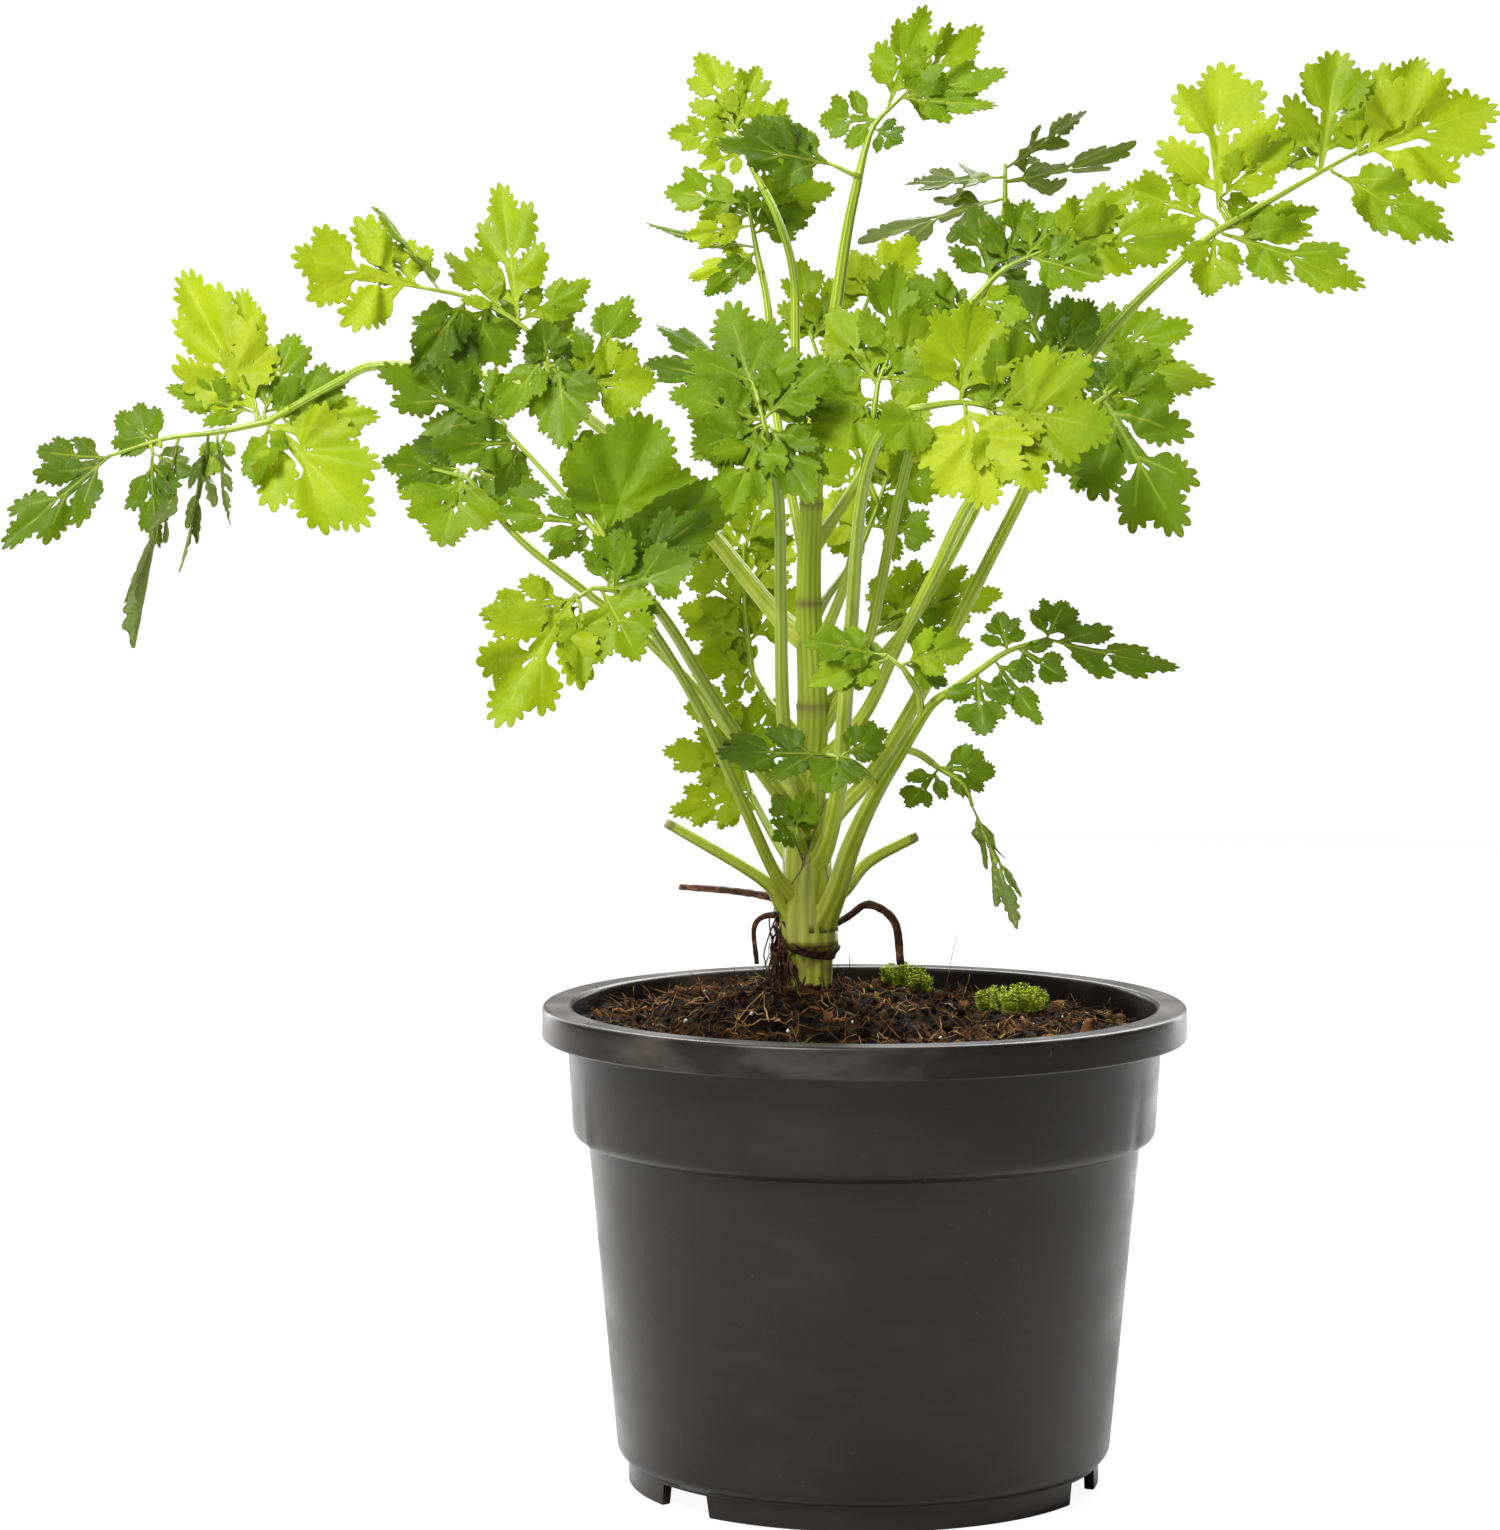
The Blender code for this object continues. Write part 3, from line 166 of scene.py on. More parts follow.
LEAVES: tuple[LeafPlan, ...] = (
    LeafPlan("far_left", "main_stem", (
        (-13, 0, 196), (-21, 5, 203), (-40, 12, 226), (-58, 20, 243), (-72, 26, 253), (-90, 31, 258),
        (-112, 36, 260), (-122, 38, 256), (-138, 40, 247),
    ), (2.1, 1.0), 0.3, -0.08, (
        ((-138, 247), (-150, 244.5), (-162, 243), (-175, 239)),
    ), (
        (-140, 248, -158, 280, 21, 3, 0), (-141, 251, -144, 276, 12, 6, 0),
        (-141, 249, -161, 255, 11, 0, 0), (-139, 249, -132, 266, 13, 7, 0),
        (-138, 247, -120, 257, 12, 0, 0), (-138, 247, -117, 226, 25, -6, 0),
        (-134, 247, -114, 249, 11, -2, 0), (-138, 246, -141, 233, 12, -4, 15),
        (-148, 244, -153, 234, 8, -2, 20), (-163, 241, -173, 249, 13, 2, 0),
        (-165, 240, -166, 220, 13, -3, 30), (-175, 239, -199, 219, 15, -4, 10),
        (-159, 243, -171, 198, 8, -9, 65), (-152, 244, -157, 214, 7, -12, -60),
        (-150, 244, -149, 225, 5, -6, 50),
    )),
    LeafPlan("upper_left", "main_stem", (
        (-14, 0, 150), (-18, -6, 158), (-26, -14, 169), (-35, -24, 183), (-46, -34, 201),
        (-56, -42, 213),
    ), (1.8, 1.1), 0.36, 0.12, (
        ((-56, 213), (-61, 222), (-67, 238), (-72, 254), (-77, 267), (-90, 275), (-103, 278)),
        ((-60, 219), (-72, 233), (-84, 246)),
    ), (
        (-103, 278, -131, 285, 25, -6, 0), (-98, 277, -112, 296, 8, 6, 60),
        (-80, 270, -84, 301, 17, 4, 0), (-83, 272, -96, 285, 10, 2, 10),
        (-92, 275, -103, 261, 11, -9, -20), (-87, 274, -91, 259, 15, 5, 0),
        (-84, 246, -111, 259, 16, -5, 0), (-83, 246, -97, 262, 12, -2, 0),
        (-80, 242, -99, 242, 11, -8, 0), (-74, 262, -84, 249, 10, -4, 20),
        (-73, 260, -75, 270, 9, -3, 0), (-71, 260, -69, 243, 15, -7, 10),
        (-65, 257, -54, 276, 13, 4, 0), (-64, 256, -49, 256, 17, 0, 0), (-72, 262, -71, 274, 9, 8, 0),
        (-60, 219, -49, 247, 26, -6, 0), (-58, 216, -26, 234, 14, -10, 35),
        (-63, 223, -84, 227, 10, -2, 0), (-68, 243, -63, 229, 9, 6, 0),
    )),
    LeafPlan("low_left", "main_stem", (
        (-13, 0, 134), (-20, -7, 141), (-28, -18, 158), (-38, -34, 180), (-50, -50, 200),
        (-58, -58, 208),
    ), (1.5, 1.0), 0.3, 0.1, (
        ((-58, 208), (-63, 208.5), (-68, 205)),
    ), (
        (-67, 207, -86, 178, 22, -7, 0), (-67, 206, -88, 203, 11, -3, 0),
        (-66, 205, -65, 188, 11, -5, 0), (-61, 208, -53, 194, 15, -6, 0),
        (-60, 208, -40, 214, 18, -4, 0), (-58, 210, -37, 226, 14, -2, 10),
    )),
    LeafPlan("left_back", "main_stem", (
        (-14, 0, 158), (-19, 5, 164), (-30, 13, 174), (-40, 20, 186), (-52, 26, 198), (-65, 31, 208),
        (-80, 35, 220), (-92, 38, 234),
    ), (1.8, 1.0), 0.15, 0.0, (
        ((-92, 234), (-100, 236)),
    ), (
        (-94, 236, -111, 237, 12, 0, 0), (-93, 235, -98, 219, 23, -6, 0),
        (-91, 236, -74, 230, 11, -4, 0),
    )),
    LeafPlan("front_stalk", "main_stem", (
        (-13, 0, 160), (-17, -6, 168), (-19, -11, 180), (-19.5, -20, 205), (-20, -32, 230),
        (-23, -38, 245),
    ), (1.8, 1.2), 0.35, 0.0, (
        ((-23, 245), (-24.5, 251)),
    ), (
        (-24, 249, -32, 272, 24, 3, 0), (-23, 247, -44, 254, 15, -3, 0), (-23, 248, -9, 261, 14, 0, 0),
        (-24, 246, -39, 240, 14, -6, 10), (-23, 246, -31, 227, 14, -9, 0),
        (-22, 246, -13, 229, 13, -7, 0), (-25, 254, -50, 262, 8, 12, 20),
        (-26, 256, -47, 270, 8, 14, 10),
    )),
    LeafPlan("centre", "main_stem", (
        (-13, 0, 192), (-8, -4, 201), (-3, -9, 215), (-1, -15, 230), (1, -21, 243), (2, -24, 249),
    ), (1.3, 1.0), 0.3, 0.0, (
        ((2, 249), (3, 256), (5, 261)),
    ), (
        (3, 255, -8, 273, 15, 2, 0), (5, 260, 7, 282, 15, 4, 0), (5, 259, 17, 271, 14, 1, 0),
        (4, 257, 17, 257, 13, -3, 0), (2, 252, -16, 253, 14, -4, 0), (1, 251, -11, 241, 14, -7, 10),
        (3, 250, 14, 243, 14, -6, 0),
    )),
    LeafPlan("front_right", "main_stem", (
        (-13, 0, 143), (-9, -7, 149), (-6, -14, 162), (-4.5, -24, 182), (-3, -34, 202), (-1, -50, 228),
        (3, -60, 243), (11, -66, 250),
    ), (2.3, 1.2), 0.25, 0.05, (
        ((11, 250), (22, 251.5), (30, 250)),
    ), (
        (22, 252, 25, 273, 20, 3, 0), (23, 250.5, 27, 229, 22, -5, 0), (28, 250, 40, 231, 15, -7, 0),
        (29, 250, 56, 247, 24, -3, 0), (28, 251, 43, 264, 16, 3, 0), (13, 250, 5, 242, 12, -4, 10),
    )),
    LeafPlan("right_inner", "main_stem", (
        (-12.5, 0, 172), (-5, 0, 184), (1, -1, 197), (4, -2, 211), (7, -3, 226), (11, -4, 243),
        (15, -5, 262), (25, -6, 275),
    ), (1.4, 1.0), 0.2, 0.0, (
        ((25, 275), (32, 282), (43, 287)),
    ), (
        (29, 279, 25, 297, 14, 4, 0), (32, 282, 37, 298, 13, 6, 0), (37, 285, 47, 296, 11, 2, 0),
        (43, 287, 74, 290, 15, -2, 0), (43, 287, 60, 299, 12, 3, 0), (37, 285, 54, 280, 13, -4, 0),
        (22, 272, 8, 279, 12, -3, 10), (25, 275, 37, 271, 9, -5, 0),
    )),
    LeafPlan("right_long", "main_stem", (
        (-13, 0, 150), (-6, 1, 157), (2, 3, 166), (11, 6, 181), (19, 8, 196), (28, 10, 214),
        (37, 13, 232), (47, 17, 255), (60, 20, 272), (76, 24, 287), (81, 25, 291),
    ), (1.9, 1.0), 0.3, 0.05, (
        ((81, 291), (90, 296), (104, 304), (115, 310)),
    ), (
        (81, 296, 81, 330, 25, 4, 0), (81, 298, 97, 311, 11, 0, 0), (80, 293, 60, 301, 13, 2, 0),
        (82, 290, 113, 280, 17, -5, 0), (82, 291, 103, 295, 9, 2, 0), (80, 290, 79, 276, 13, -4, 0),
        (104, 304, 108, 330, 20, 4, 0), (113, 308, 143, 320, 25, 0, 0), (112, 308, 127, 331, 16, 4, 0),
        (107, 304, 133, 290, 13, -4, 0),
    )),
    LeafPlan("right_mid", "main_stem", (
        (-12.5, 0, 166), (-6, -4, 172), (1, -8, 181), (8, -12, 196), (16, -18, 212), (25, -25, 230),
        (38, -30, 243), (53, -33, 251),
    ), (1.7, 1.0), 0.3, 0.0, (
        ((53, 251), (58, 255)),
    ), (
        (55, 253, 71, 253, 11, 2, 0), (55, 252, 71, 224, 25, -6, 0), (55, 254, 67, 261, 9, 4, 0),
    )),
    LeafPlan("right_back", "main_stem", (
        (-12.5, 0, 178), (-6, 5, 184), (5, 13, 194), (14, 21, 206), (24, 30, 224), (33, 37, 243),
        (40, 42, 257),
    ), (1.4, 1.0), 0.25, 0.0, (
        ((40, 257), (45, 262), (52, 263)),
    ), (
        (42, 261, 33, 281, 17, 4, 0), (45, 263, 53, 274, 14, 2, 0), (51, 263, 74, 268, 16, -2, 0),
        (52, 262, 79, 256, 10, -5, 0), (44, 260, 60, 249, 12, -4, 0),
    )),
    LeafPlan("top", "main_stem", (
        (-11.5, 0, 243), (-10, 0, 252), (-7, 1, 272), (-4, 3, 292), (-0.5, 5, 308),
    ), (1.9, 1.1), 0.25, 0.1, (
        ((-0.5, 308), (2, 315), (8, 321)), ((-1.5, 303), (-9, 306.5)),
    ), (
        (5, 319, 14, 341, 14, 4, 0), (8, 321, 26, 337, 12, 3, 0), (8, 321, 31, 327, 10, -2, 0),
        (8, 321, 29, 319, 8, -4, 0), (3, 316, -10, 317, 12, 2, 0), (2, 314, 8, 311, 8, -4, 20),
        (-8, 306, -33, 311, 15, -6, 15), (-8, 306, -25, 317, 9, 2, 0),
    )),
    LeafPlan("feathery_top", "main_stem", (
        (-12, 0, 228), (-14, 5, 240), (-16, 11, 260), (-16.5, 16, 280), (-20, 19, 293), (-26, 22, 305),
    ), (1.3, 0.9), 0.25, 0.0, (
        ((-26, 305), (-30, 315)),
    ), (
        (-30, 314, -38, 333, 14, 3, 0), (-30, 314, -24, 329, 10, 2, 0), (-30, 312, -46, 314, 9, 0, 0),
        (-27, 307, -18, 321, 8, 1, 0), (-27, 307, -11, 313, 9, -1, 0), (-28, 309, -38, 305, 8, -3, 0),
    )),
    LeafPlan("feathery_back", "main_stem", (
        (-12.5, 0, 210), (-15, 8, 220), (-18, 18, 235), (-21, 28, 252), (-22.5, 37, 273),
        (-25, 42, 286),
    ), (1.3, 0.9), 0.3, 0.0, (
        ((-25, 286), (-27, 297)),
    ), (
        (-27, 297, -47, 301, 12, 2, 0), (-27, 296, -7, 301, 12, 2, 0), (-26, 292, -42, 289, 8, 0, 0),
        (-25, 287, -51, 291, 8, 5, 40), (-25, 286, -41, 280, 8, -2, 0), (-25, 286, -38, 275, 8, -4, 0),
        (-26, 291, -18, 304, 13, 4, 0), (-26, 290, -11, 296, 10, 1, 0), (-26, 294, -38, 298, 9, 5, 0),
    )),
    LeafPlan("grey_top_right", "main_stem", (
        (-12, 0, 218), (-5, 10, 228), (6, 26, 246), (18, 42, 264), (29, 54, 280), (32, 58, 296),
    ), (1.5, 1.0), 0.1, 0.0, (
        ((32, 296), (32, 306)),
    ), (
        (32, 305, 49, 316, 10, 10, 62), (32, 302, 58, 306, 12, -6, 62), (31, 303, 12, 301, 10, 6, 62),
        (31, 298, 3, 290, 12, -4, 55),
    )),
    LeafPlan("low_right", "main_stem", (
        (-12.5, 0, 126), (-7, -6, 137), (-3, -12, 149), (2, -20, 160), (8, -30, 170), (15, -40, 181),
        (20, -46, 185),
    ), (3, 1.1), 0.3, 0.1, (
        ((20, 185), (27, 190), (33, 194), (42, 197)),
    ), (
        (26, 189, 27, 175, 13, -4, 0), (30, 192, 40, 178, 9, -3, 0), (35, 195, 46, 188, 10, -4, 0),
        (42, 197, 70, 189, 10, -6, 40), (33, 194, 31, 203, 9, 2, 0), (42, 197, 46, 205, 10, 3, 0),
    )),
    LeafPlan("stem_front", "low_right_stalk", (
        (3, -22.5, 162), (0, -29, 166), (-4, -33, 169),
    ), (0.9, 0.8), 0.2, 0.0, (
        ((-4, 169), (-9, 170)),
    ), (
        (-9, 170, -33, 171, 13, -5, 20), (-6, 170, -8, 161, 12, -4, 0), (-5, 170, 5, 175, 9, 2, 0),
    )),
    LeafPlan("mid_spray", "low_right_stalk", (
        (13, -37.5, 178), (12.5, -42, 184), (9, -46, 190),
    ), (0.9, 0.8), 0.2, 0.0, (
        ((9, 190), (5, 193)),
    ), (
        (4, 193, -13, 197, 10, -3, 20), (5, 192, -12, 188, 10, -4, 20), (9, 191, 24, 196, 10, 2, 0),
    )),
    LeafPlan("drooping", "low_right_stalk", (
        (9, -31.5, 171.5), (13, -26, 170), (17, -21, 167),
    ), (0.9, 0.8), 0.2, 0.0, (
        ((17, 167), (23, 163), (25, 158)),
    ), (
        (18, 167, 29, 166, 10, 2, 0), (17, 166.5, 11, 159, 9, -3, 0), (25, 158, 36, 134, 6, -5, 50),
    )),
    LeafPlan("inner_right", "main_stem", (
        (-12, 0, 184), (-8, 7, 190), (-1, 17, 196), (8, 26, 201),
    ), (1.1, 0.8), 0.2, 0.0, (
        ((8, 201), (14, 204)),
    ), (
        (14, 204, 31, 208, 12, 0, 0), (9, 202, 12, 215, 11, 2, 0), (12, 204, 23, 213, 10, 3, 0),
        (10, 202, 2, 211, 11, 4, 0), (11, 203, 17, 194, 9, -2, 0),
    )),
    LeafPlan("inner_back", "main_stem", (
        (-12.5, 0, 200), (-9, 8, 206), (-4, 18, 213), (0, 25, 220),
    ), (1.1, 0.8), 0.25, 0.0, (
        ((0, 220), (3, 228), (5, 234)), ((3, 228), (-2, 240), (-8, 254), (-13, 268)),
        ((-8, 254), (-3, 266), (1, 276)),
    ), (
        (1, 222, -11, 228, 12, 0, 0), (2, 223, 14, 221, 12, -2, 0), (3, 229, -9, 238, 12, 2, 0),
        (4, 231, 19, 236, 12, 2, 0), (5, 233, 10, 243, 10, 3, 0), (-5, 248, -17, 259, 10, 1, 0),
        (-12, 266, -15, 282, 11, 2, 0), (-12, 266, -4, 279, 11, 0, 0), (1, 275, 10, 288, 12, 3, 0),
        (1, 275, -3, 285, 9, 1, 0),
    )),
    LeafPlan("young_left_high", "main_stem", (
        (-13, 0, 172), (-17, 7, 177), (-22, 15, 182), (-26, 21, 189),
    ), (1.1, 0.8), 0.25, 0.0, (
        ((-26, 189), (-27, 197), (-28, 208), (-28, 219)),
    ), (
        (-27, 197, -39, 202, 10, 2, 0), (-26, 190, -37, 191, 7, -2, 0), (-27, 196, -18, 205, 10, 2, 0),
        (-27.5, 203, -37, 212, 9, 0, 0), (-28, 208, -20, 218, 10, 2, 0), (-28, 217, -36, 227, 10, 2, 0),
        (-28, 217, -23, 231, 10, 0, 0),
    )),
    LeafPlan("young_left_low", "main_stem", (
        (-14, 0, 141), (-20, 8, 149), (-26, 15, 160), (-28, 19, 166),
    ), (1.1, 0.8), 0.2, 0.0, (
        ((-28, 166), (-29, 172)),
    ), (
        (-29, 172, -38, 184, 9, 2, 0), (-28.5, 167, -42, 170, 8, 0, 0), (-26, 161, -40, 158, 8, -3, 0),
        (-29, 171, -21, 180, 9, 3, 0),
    )),
    LeafPlan("stem_tuft", "main_stem", (
        (-13, 0, 146), (-14.5, -8, 149), (-15.5, -13, 151),
    ), (0.9, 0.8), 0.2, 0.0, (
        ((-15.5, 151), (-16, 153)),
    ), (
        (-16, 153, -12, 161, 8, 1, 0), (-16, 152.5, -21, 160, 7, 1, 0), (-16, 152, -21, 150, 6, -2, 10),
    )),
)

# Plain sprigs: name, points from inside the crown, radii from base to tip.
SPRIGS = (
    ("cut_stalk_left", ((-13, 0, 124), (-19, -3, 134), (-24, -6, 141), (-46, -12, 154)), (1.7, 1.1)),
    ("cut_stalk_right", ((-12.5, 0, 133), (-5, 4, 138), (1, 8, 145), (12, 12, 151)), (1.7, 1.2)),
    ("dry_stalk_left", ((-13, 0, 131), (-20, 6, 136), (-30, 10, 138), (-43, 13, 139)), (1.1, 0.9)),
    ("dry_stalk_hanging", ((-13, 0, 130), (-21, 2, 132.5), (-25.5, 2, 130), (-25, 2, 121)), (0.9, 0.8)),
    ("dry_stalk_arched", ((-12.5, 0, 127), (-4, 3, 132), (1, 2, 135), (7, 0, 131),
                          (8.5, -1, 121)), (0.9, 0.8)),
)




@dataclass(frozen=True)
class LeafLook:
    """How one leaf's leaflets look, in the plan's order.

    Shapes holds a letter of Shape for each. A tone runs from 0, a dull grey-green, through
    a fresh green to 1, a pale yellow-green.
    """

    shapes: str
    tones: tuple[float, ...]
    companions: float = 0.5  # the mean number of smaller leaflets beside each leaflet
    growth: float = 1.0  # its leaflets' size, in shares of the solids' own


LOOKS: dict[str, LeafLook] = {
    "far_left": LeafLook("FFCCCFCFCFCCSSS", (
        0.92, 0.86, 0.6, 0.5, 0.45, 0.75, 0.7, 0.5, 0.6, 0.4, 0.3, 0.25, 0.05, 0.05, 0.1,
    ), 0.4),
    "upper_left": LeafLook("CSCCFFCCFCFFCFFBBCC", (
        0.8, 0.6, 0.68, 0.62, 0.35, 0.5, 0.4, 0.42, 0.4, 0.45, 0.35, 0.42, 0.55, 0.72, 0.75, 0.5,
        0.45, 0.45, 0.75,
    ), 0.9),
    "low_left": LeafLook("CCCCCC", (0.78, 0.75, 0.6, 0.55, 0.45, 0.3), 0.7),
    "left_back": LeafLook("FCF", (0.35, 0.62, 0.4), 1.6),
    "front_stalk": LeafLook("FCCFCCCC", (0.52, 0.5, 0.5, 0.5, 0.6, 0.45, 0.3, 0.32), 0.8),
    "centre": LeafLook("CCFFFFF", (0.64, 0.6, 0.6, 0.62, 0.62, 0.66, 0.7), 0.8),
    "front_right": LeafLook("FFCFFF", (0.72, 0.88, 0.8, 0.7, 0.5, 0.6)),
    "right_inner": LeafLook("CCCCCCFC", (0.3, 0.4, 0.55, 0.7, 0.72, 0.5, 0.42, 0.6)),
    "right_long": LeafLook("CCCCCFCFFC", (0.8, 0.68, 0.72, 0.62, 0.62, 0.66, 0.62, 0.78, 0.74, 0.6), 0.2),
    "right_mid": LeafLook("FCC", (0.42, 0.45, 0.45)),
    "right_back": LeafLook("FFCCC", (0.32, 0.35, 0.6, 0.62, 0.35)),
    "top": LeafLook("CCCCCCCC", (0.62, 0.6, 0.6, 0.5, 0.5, 0.3, 0.3, 0.35), 0.1),
    "feathery_top": LeafLook("EEEEEE", (0.7, 0.7, 0.72, 0.62, 0.6, 0.8), 0.2, 0.92),
    "feathery_back": LeafLook("EEECECCCC", (0.6, 0.65, 0.92, 0.42, 0.9, 0.42, 0.42, 0.42, 0.42), 0.0, 0.92),
    "grey_top_right": LeafLook("SSSS", (0.03, 0.08, 0.05, 0.04), 0.0, 1.1),
    "low_right": LeafLook("CCCCCF", (0.4, 0.35, 0.35, 0.3, 0.4, 0.4), 0.1),
    "stem_front": LeafLook("CFF", (0.3, 0.35, 0.32), 0.2),
    "mid_spray": LeafLook("CCC", (0.56, 0.6, 0.62), 0.8),
    "drooping": LeafLook("FCS", (0.42, 0.4, 0.12), 0.1, 1.1),
    "inner_right": LeafLook("CCCCC", (0.67, 0.72, 0.7, 0.85, 0.52), 1.2),
    "inner_back": LeafLook("CCCCCFCCCC", (
        0.85, 0.52, 0.67, 0.62, 0.82, 0.5, 0.62, 0.67, 0.85, 0.85,
    ), 1.5, 1.1),
    "young_left_high": LeafLook("CCCCCCC", (0.8, 0.8, 0.78, 0.75, 0.8, 0.75, 0.7), 2.0, 1.3),
    "young_left_low": LeafLook("CCCC", (0.8, 0.85, 0.85, 0.7), 1.8, 1.3),
    "stem_tuft": LeafLook("CCC", (0.5, 0.45, 0.4), 0.8),
}

# How the plan's places and leaflets turn into real ones, as for the solids.
OPENING_LENGTH = 1100
CANOPY_MIDDLE = 256
NECK_LENGTH = 6 * MM
LEAFLET_ROLLS = (-5, 0, 4)


def spread(x: float, y: float, z: float) -> Vector:
    """A planned place in millimetres as a point in metres, the canopy opening with depth."""
    opening = 1 + y / OPENING_LENGTH
    place = Vector((x * opening, y, CANOPY_MIDDLE + (z - CANOPY_MIDDLE) * opening))
    return place * MM + AXIS


def smooth_path(points: list[Vector], step: float) -> list[Vector]:
    """A Catmull-Rom curve through the points.

    Args:
        points: the places it passes through.
        step: about how far apart its samples are.

    Returns:
        The samples, both ends among them.
    """
    ends = [2 * points[0] - points[1], *points, 2 * points[-1] - points[-2]]
    path = []
    for before, start, end, after in zip(ends, ends[1:], ends[2:], ends[3:]):
        count = max(1, math.ceil((end - start).length / step))
        for i in range(count):
            t = i / count
            path.append(
                0.5 * (2 * start + (end - before) * t
                       + (2 * before - 5 * start + 4 * end - after) * t ** 2
                       + (3 * start - before - 3 * end + after) * t ** 3))
    return [*path, points[-1]]


def split_path(path: list[Vector], length: float) -> tuple[list[Vector], list[Vector]]:
    """Cuts a path this length before its end.

    Args:
        path: the points of the path.
        length: the length of its last part.

    Returns:
        The first part and the last part, which share the cut.
    """
    left = length
    for i in range(len(path) - 1, 0, -1):
        piece = (path[i] - path[i - 1]).length
        if piece > left:
            cut = path[i].lerp(path[i - 1], left / piece)
            return [*path[:i], cut], [cut, *path[i:]]
        left -= piece
    raise ValueError("the stalk is shorter than the neck of its blade")


def leaf_point(plan: LeafPlan, x: float, z: float, behind: float = 0.0) -> Vector:
    """The point at this x and z of the leaf's plane, or behind it."""
    joint_x, joint_y, joint_z = plan.stalk[-1]
    depth = joint_y + plan.lean * (z - joint_z) + plan.swing * (x - joint_x) + behind
    return spread(x, depth, z)


def leaflet_frame(plan: LeafPlan, number: int) -> tuple[float, Matrix]:
    """Where a leaflet lies.

    Args:
        plan: its leaf.
        number: the leaflet, counted from 0.

    Returns:
        Its length, and its matrix: X from base to tip and Z out of its upper face.
    """
    base_x, base_z, tip_x, tip_z, _, behind, roll = plan.leaflets[number]
    base = leaf_point(plan, base_x, base_z)
    along = leaf_point(plan, tip_x, tip_z, behind) - base
    face = Vector((plan.swing, -1, plan.lean))
    face = (face - face.project(along)).normalized()
    roll += LEAFLET_ROLLS[(number + 1) % len(LEAFLET_ROLLS)]
    face.rotate(Matrix.Rotation(math.radians(roll), 3, along))
    across = face.cross(along).normalized()
    turn = Matrix((along.normalized(), across, face)).transposed().to_4x4()
    return along.length, Matrix.Translation(base) @ turn


def nearest_point(lines: list[list[Vector]], place: Vector) -> Vector:
    """The point of these lines that lies nearest to a place.

    Args:
        lines: the points of each line.
        place: the place.

    Returns:
        The point.
    """
    best = None
    for line in lines:
        for start, end in zip(line, line[1:]):
            share = (place - start).dot(end - start) / (end - start).length_squared
            point = start.lerp(end, min(max(share, 0), 1))
            if best is None or (point - place).length < (best - place).length:
                best = point
    return best


@dataclass
class MeshBuffer:
    """Gathers points, faces and per-point values, then makes one object of them."""

    values: tuple[str, ...] = ()
    points: list = field(default_factory=list)
    faces: list = field(default_factory=list)
    slots: list = field(default_factory=list)
    data: dict = field(default_factory=dict)

    def add(self, points: list, faces: list, slot: int = 0, **values) -> None:
        """Adds a closed shape.

        Args:
            points: its points, in metres.
            faces: its faces, as indices into the points.
            slot: the material slot of its faces.
            values: a number, or one number for each point, for each named value.
        """
        start = len(self.points)
        self.points.extend(points)
        self.faces.extend(tuple(start + i for i in face) for face in faces)
        self.slots.extend([slot] * len(faces))
        for name in self.values:
            value = values.get(name, 0.0)
            column = self.data.setdefault(name, [])
            column.extend([value] * len(points) if isinstance(value, (int, float)) else value)

    def build(self, name: str, materials: list) -> bpy.types.Object:
        """Makes the object.

        Args:
            name: its name.
            materials: its material slots.

        Returns:
            The new object, shaded smooth.
        """
        mesh = bpy.data.meshes.new(name)
        mesh.from_pydata([tuple(p) for p in self.points], [], self.faces)
        for material in materials:
            mesh.materials.append(material)
        mesh.polygons.foreach_set("material_index", self.slots)
        mesh.polygons.foreach_set("use_smooth", [True] * len(self.faces))
        for value in self.values:
            layer = mesh.attributes.new(value, "FLOAT", "POINT")
            layer.data.foreach_set("value", self.data[value])
        mesh.update()
        obj = bpy.data.objects.new(name, mesh)
        bpy.context.scene.collection.objects.link(obj)
        return obj


def tube(path: list[Vector], radii: list[float], sides: int, ribs: int = 0,
         rib_depth: float = 0.0, flat: float = 1.0) -> tuple[list, list, list, list]:
    """A closed tube with a ribbed section.

    Args:
        path: the points of its middle line.
        radii: its radius at each point.
        sides: the corners of its section.
        ribs: how many ribs run along it.
        rib_depth: how far they stand out, as a share of the radius.
        flat: the section's height as a share of its width.

    Returns:
        Its points, its faces, and for each point its share of the length and its rib, 0 to 1.
    """
    tangents = [(b - a).normalized() for a, b in zip(path, path[1:])]
    tangents = [tangents[0], *[(a + b).normalized() for a, b in zip(tangents, tangents[1:])], tangents[-1]]
    side = tangents[0].orthogonal().normalized()
    points, along, crest = [], [], []
    for i, (centre, tangent, radius) in enumerate(zip(path, tangents, radii)):
        side = (side - side.project(tangent)).normalized()
        up = tangent.cross(side)
        for j in range(sides):
            angle = 2 * math.pi * j / sides
            rib = 0.5 + 0.5 * math.cos(angle * ribs) if ribs else 0.5
            reach = radius * (1 + rib_depth * (2 * rib - 1))
            points.append(centre + side * (reach * math.cos(angle)) + up * (reach * flat * math.sin(angle)))
            along.append(i / (len(path) - 1))
            crest.append(rib)
    faces = []
    for i in range(len(path) - 1):
        for j in range(sides):
            k = (j + 1) % sides
            faces.append((i * sides + j, i * sides + k, (i + 1) * sides + k, (i + 1) * sides + j))
    faces.append(tuple(range(sides - 1, -1, -1)))
    last = (len(path) - 1) * sides
    faces.append(tuple(range(last, last + sides)))
    return points, faces, along, crest


def tapered(first: float, last: float, count: int, power: float = 1.0) -> list[float]:
    """Radii from first to last for this many points, sooner thin where the power is below 1."""
    return [first + (last - first) * (i / (count - 1)) ** power for i in range(count)]


# ---------------------------------------------------------------- finishes


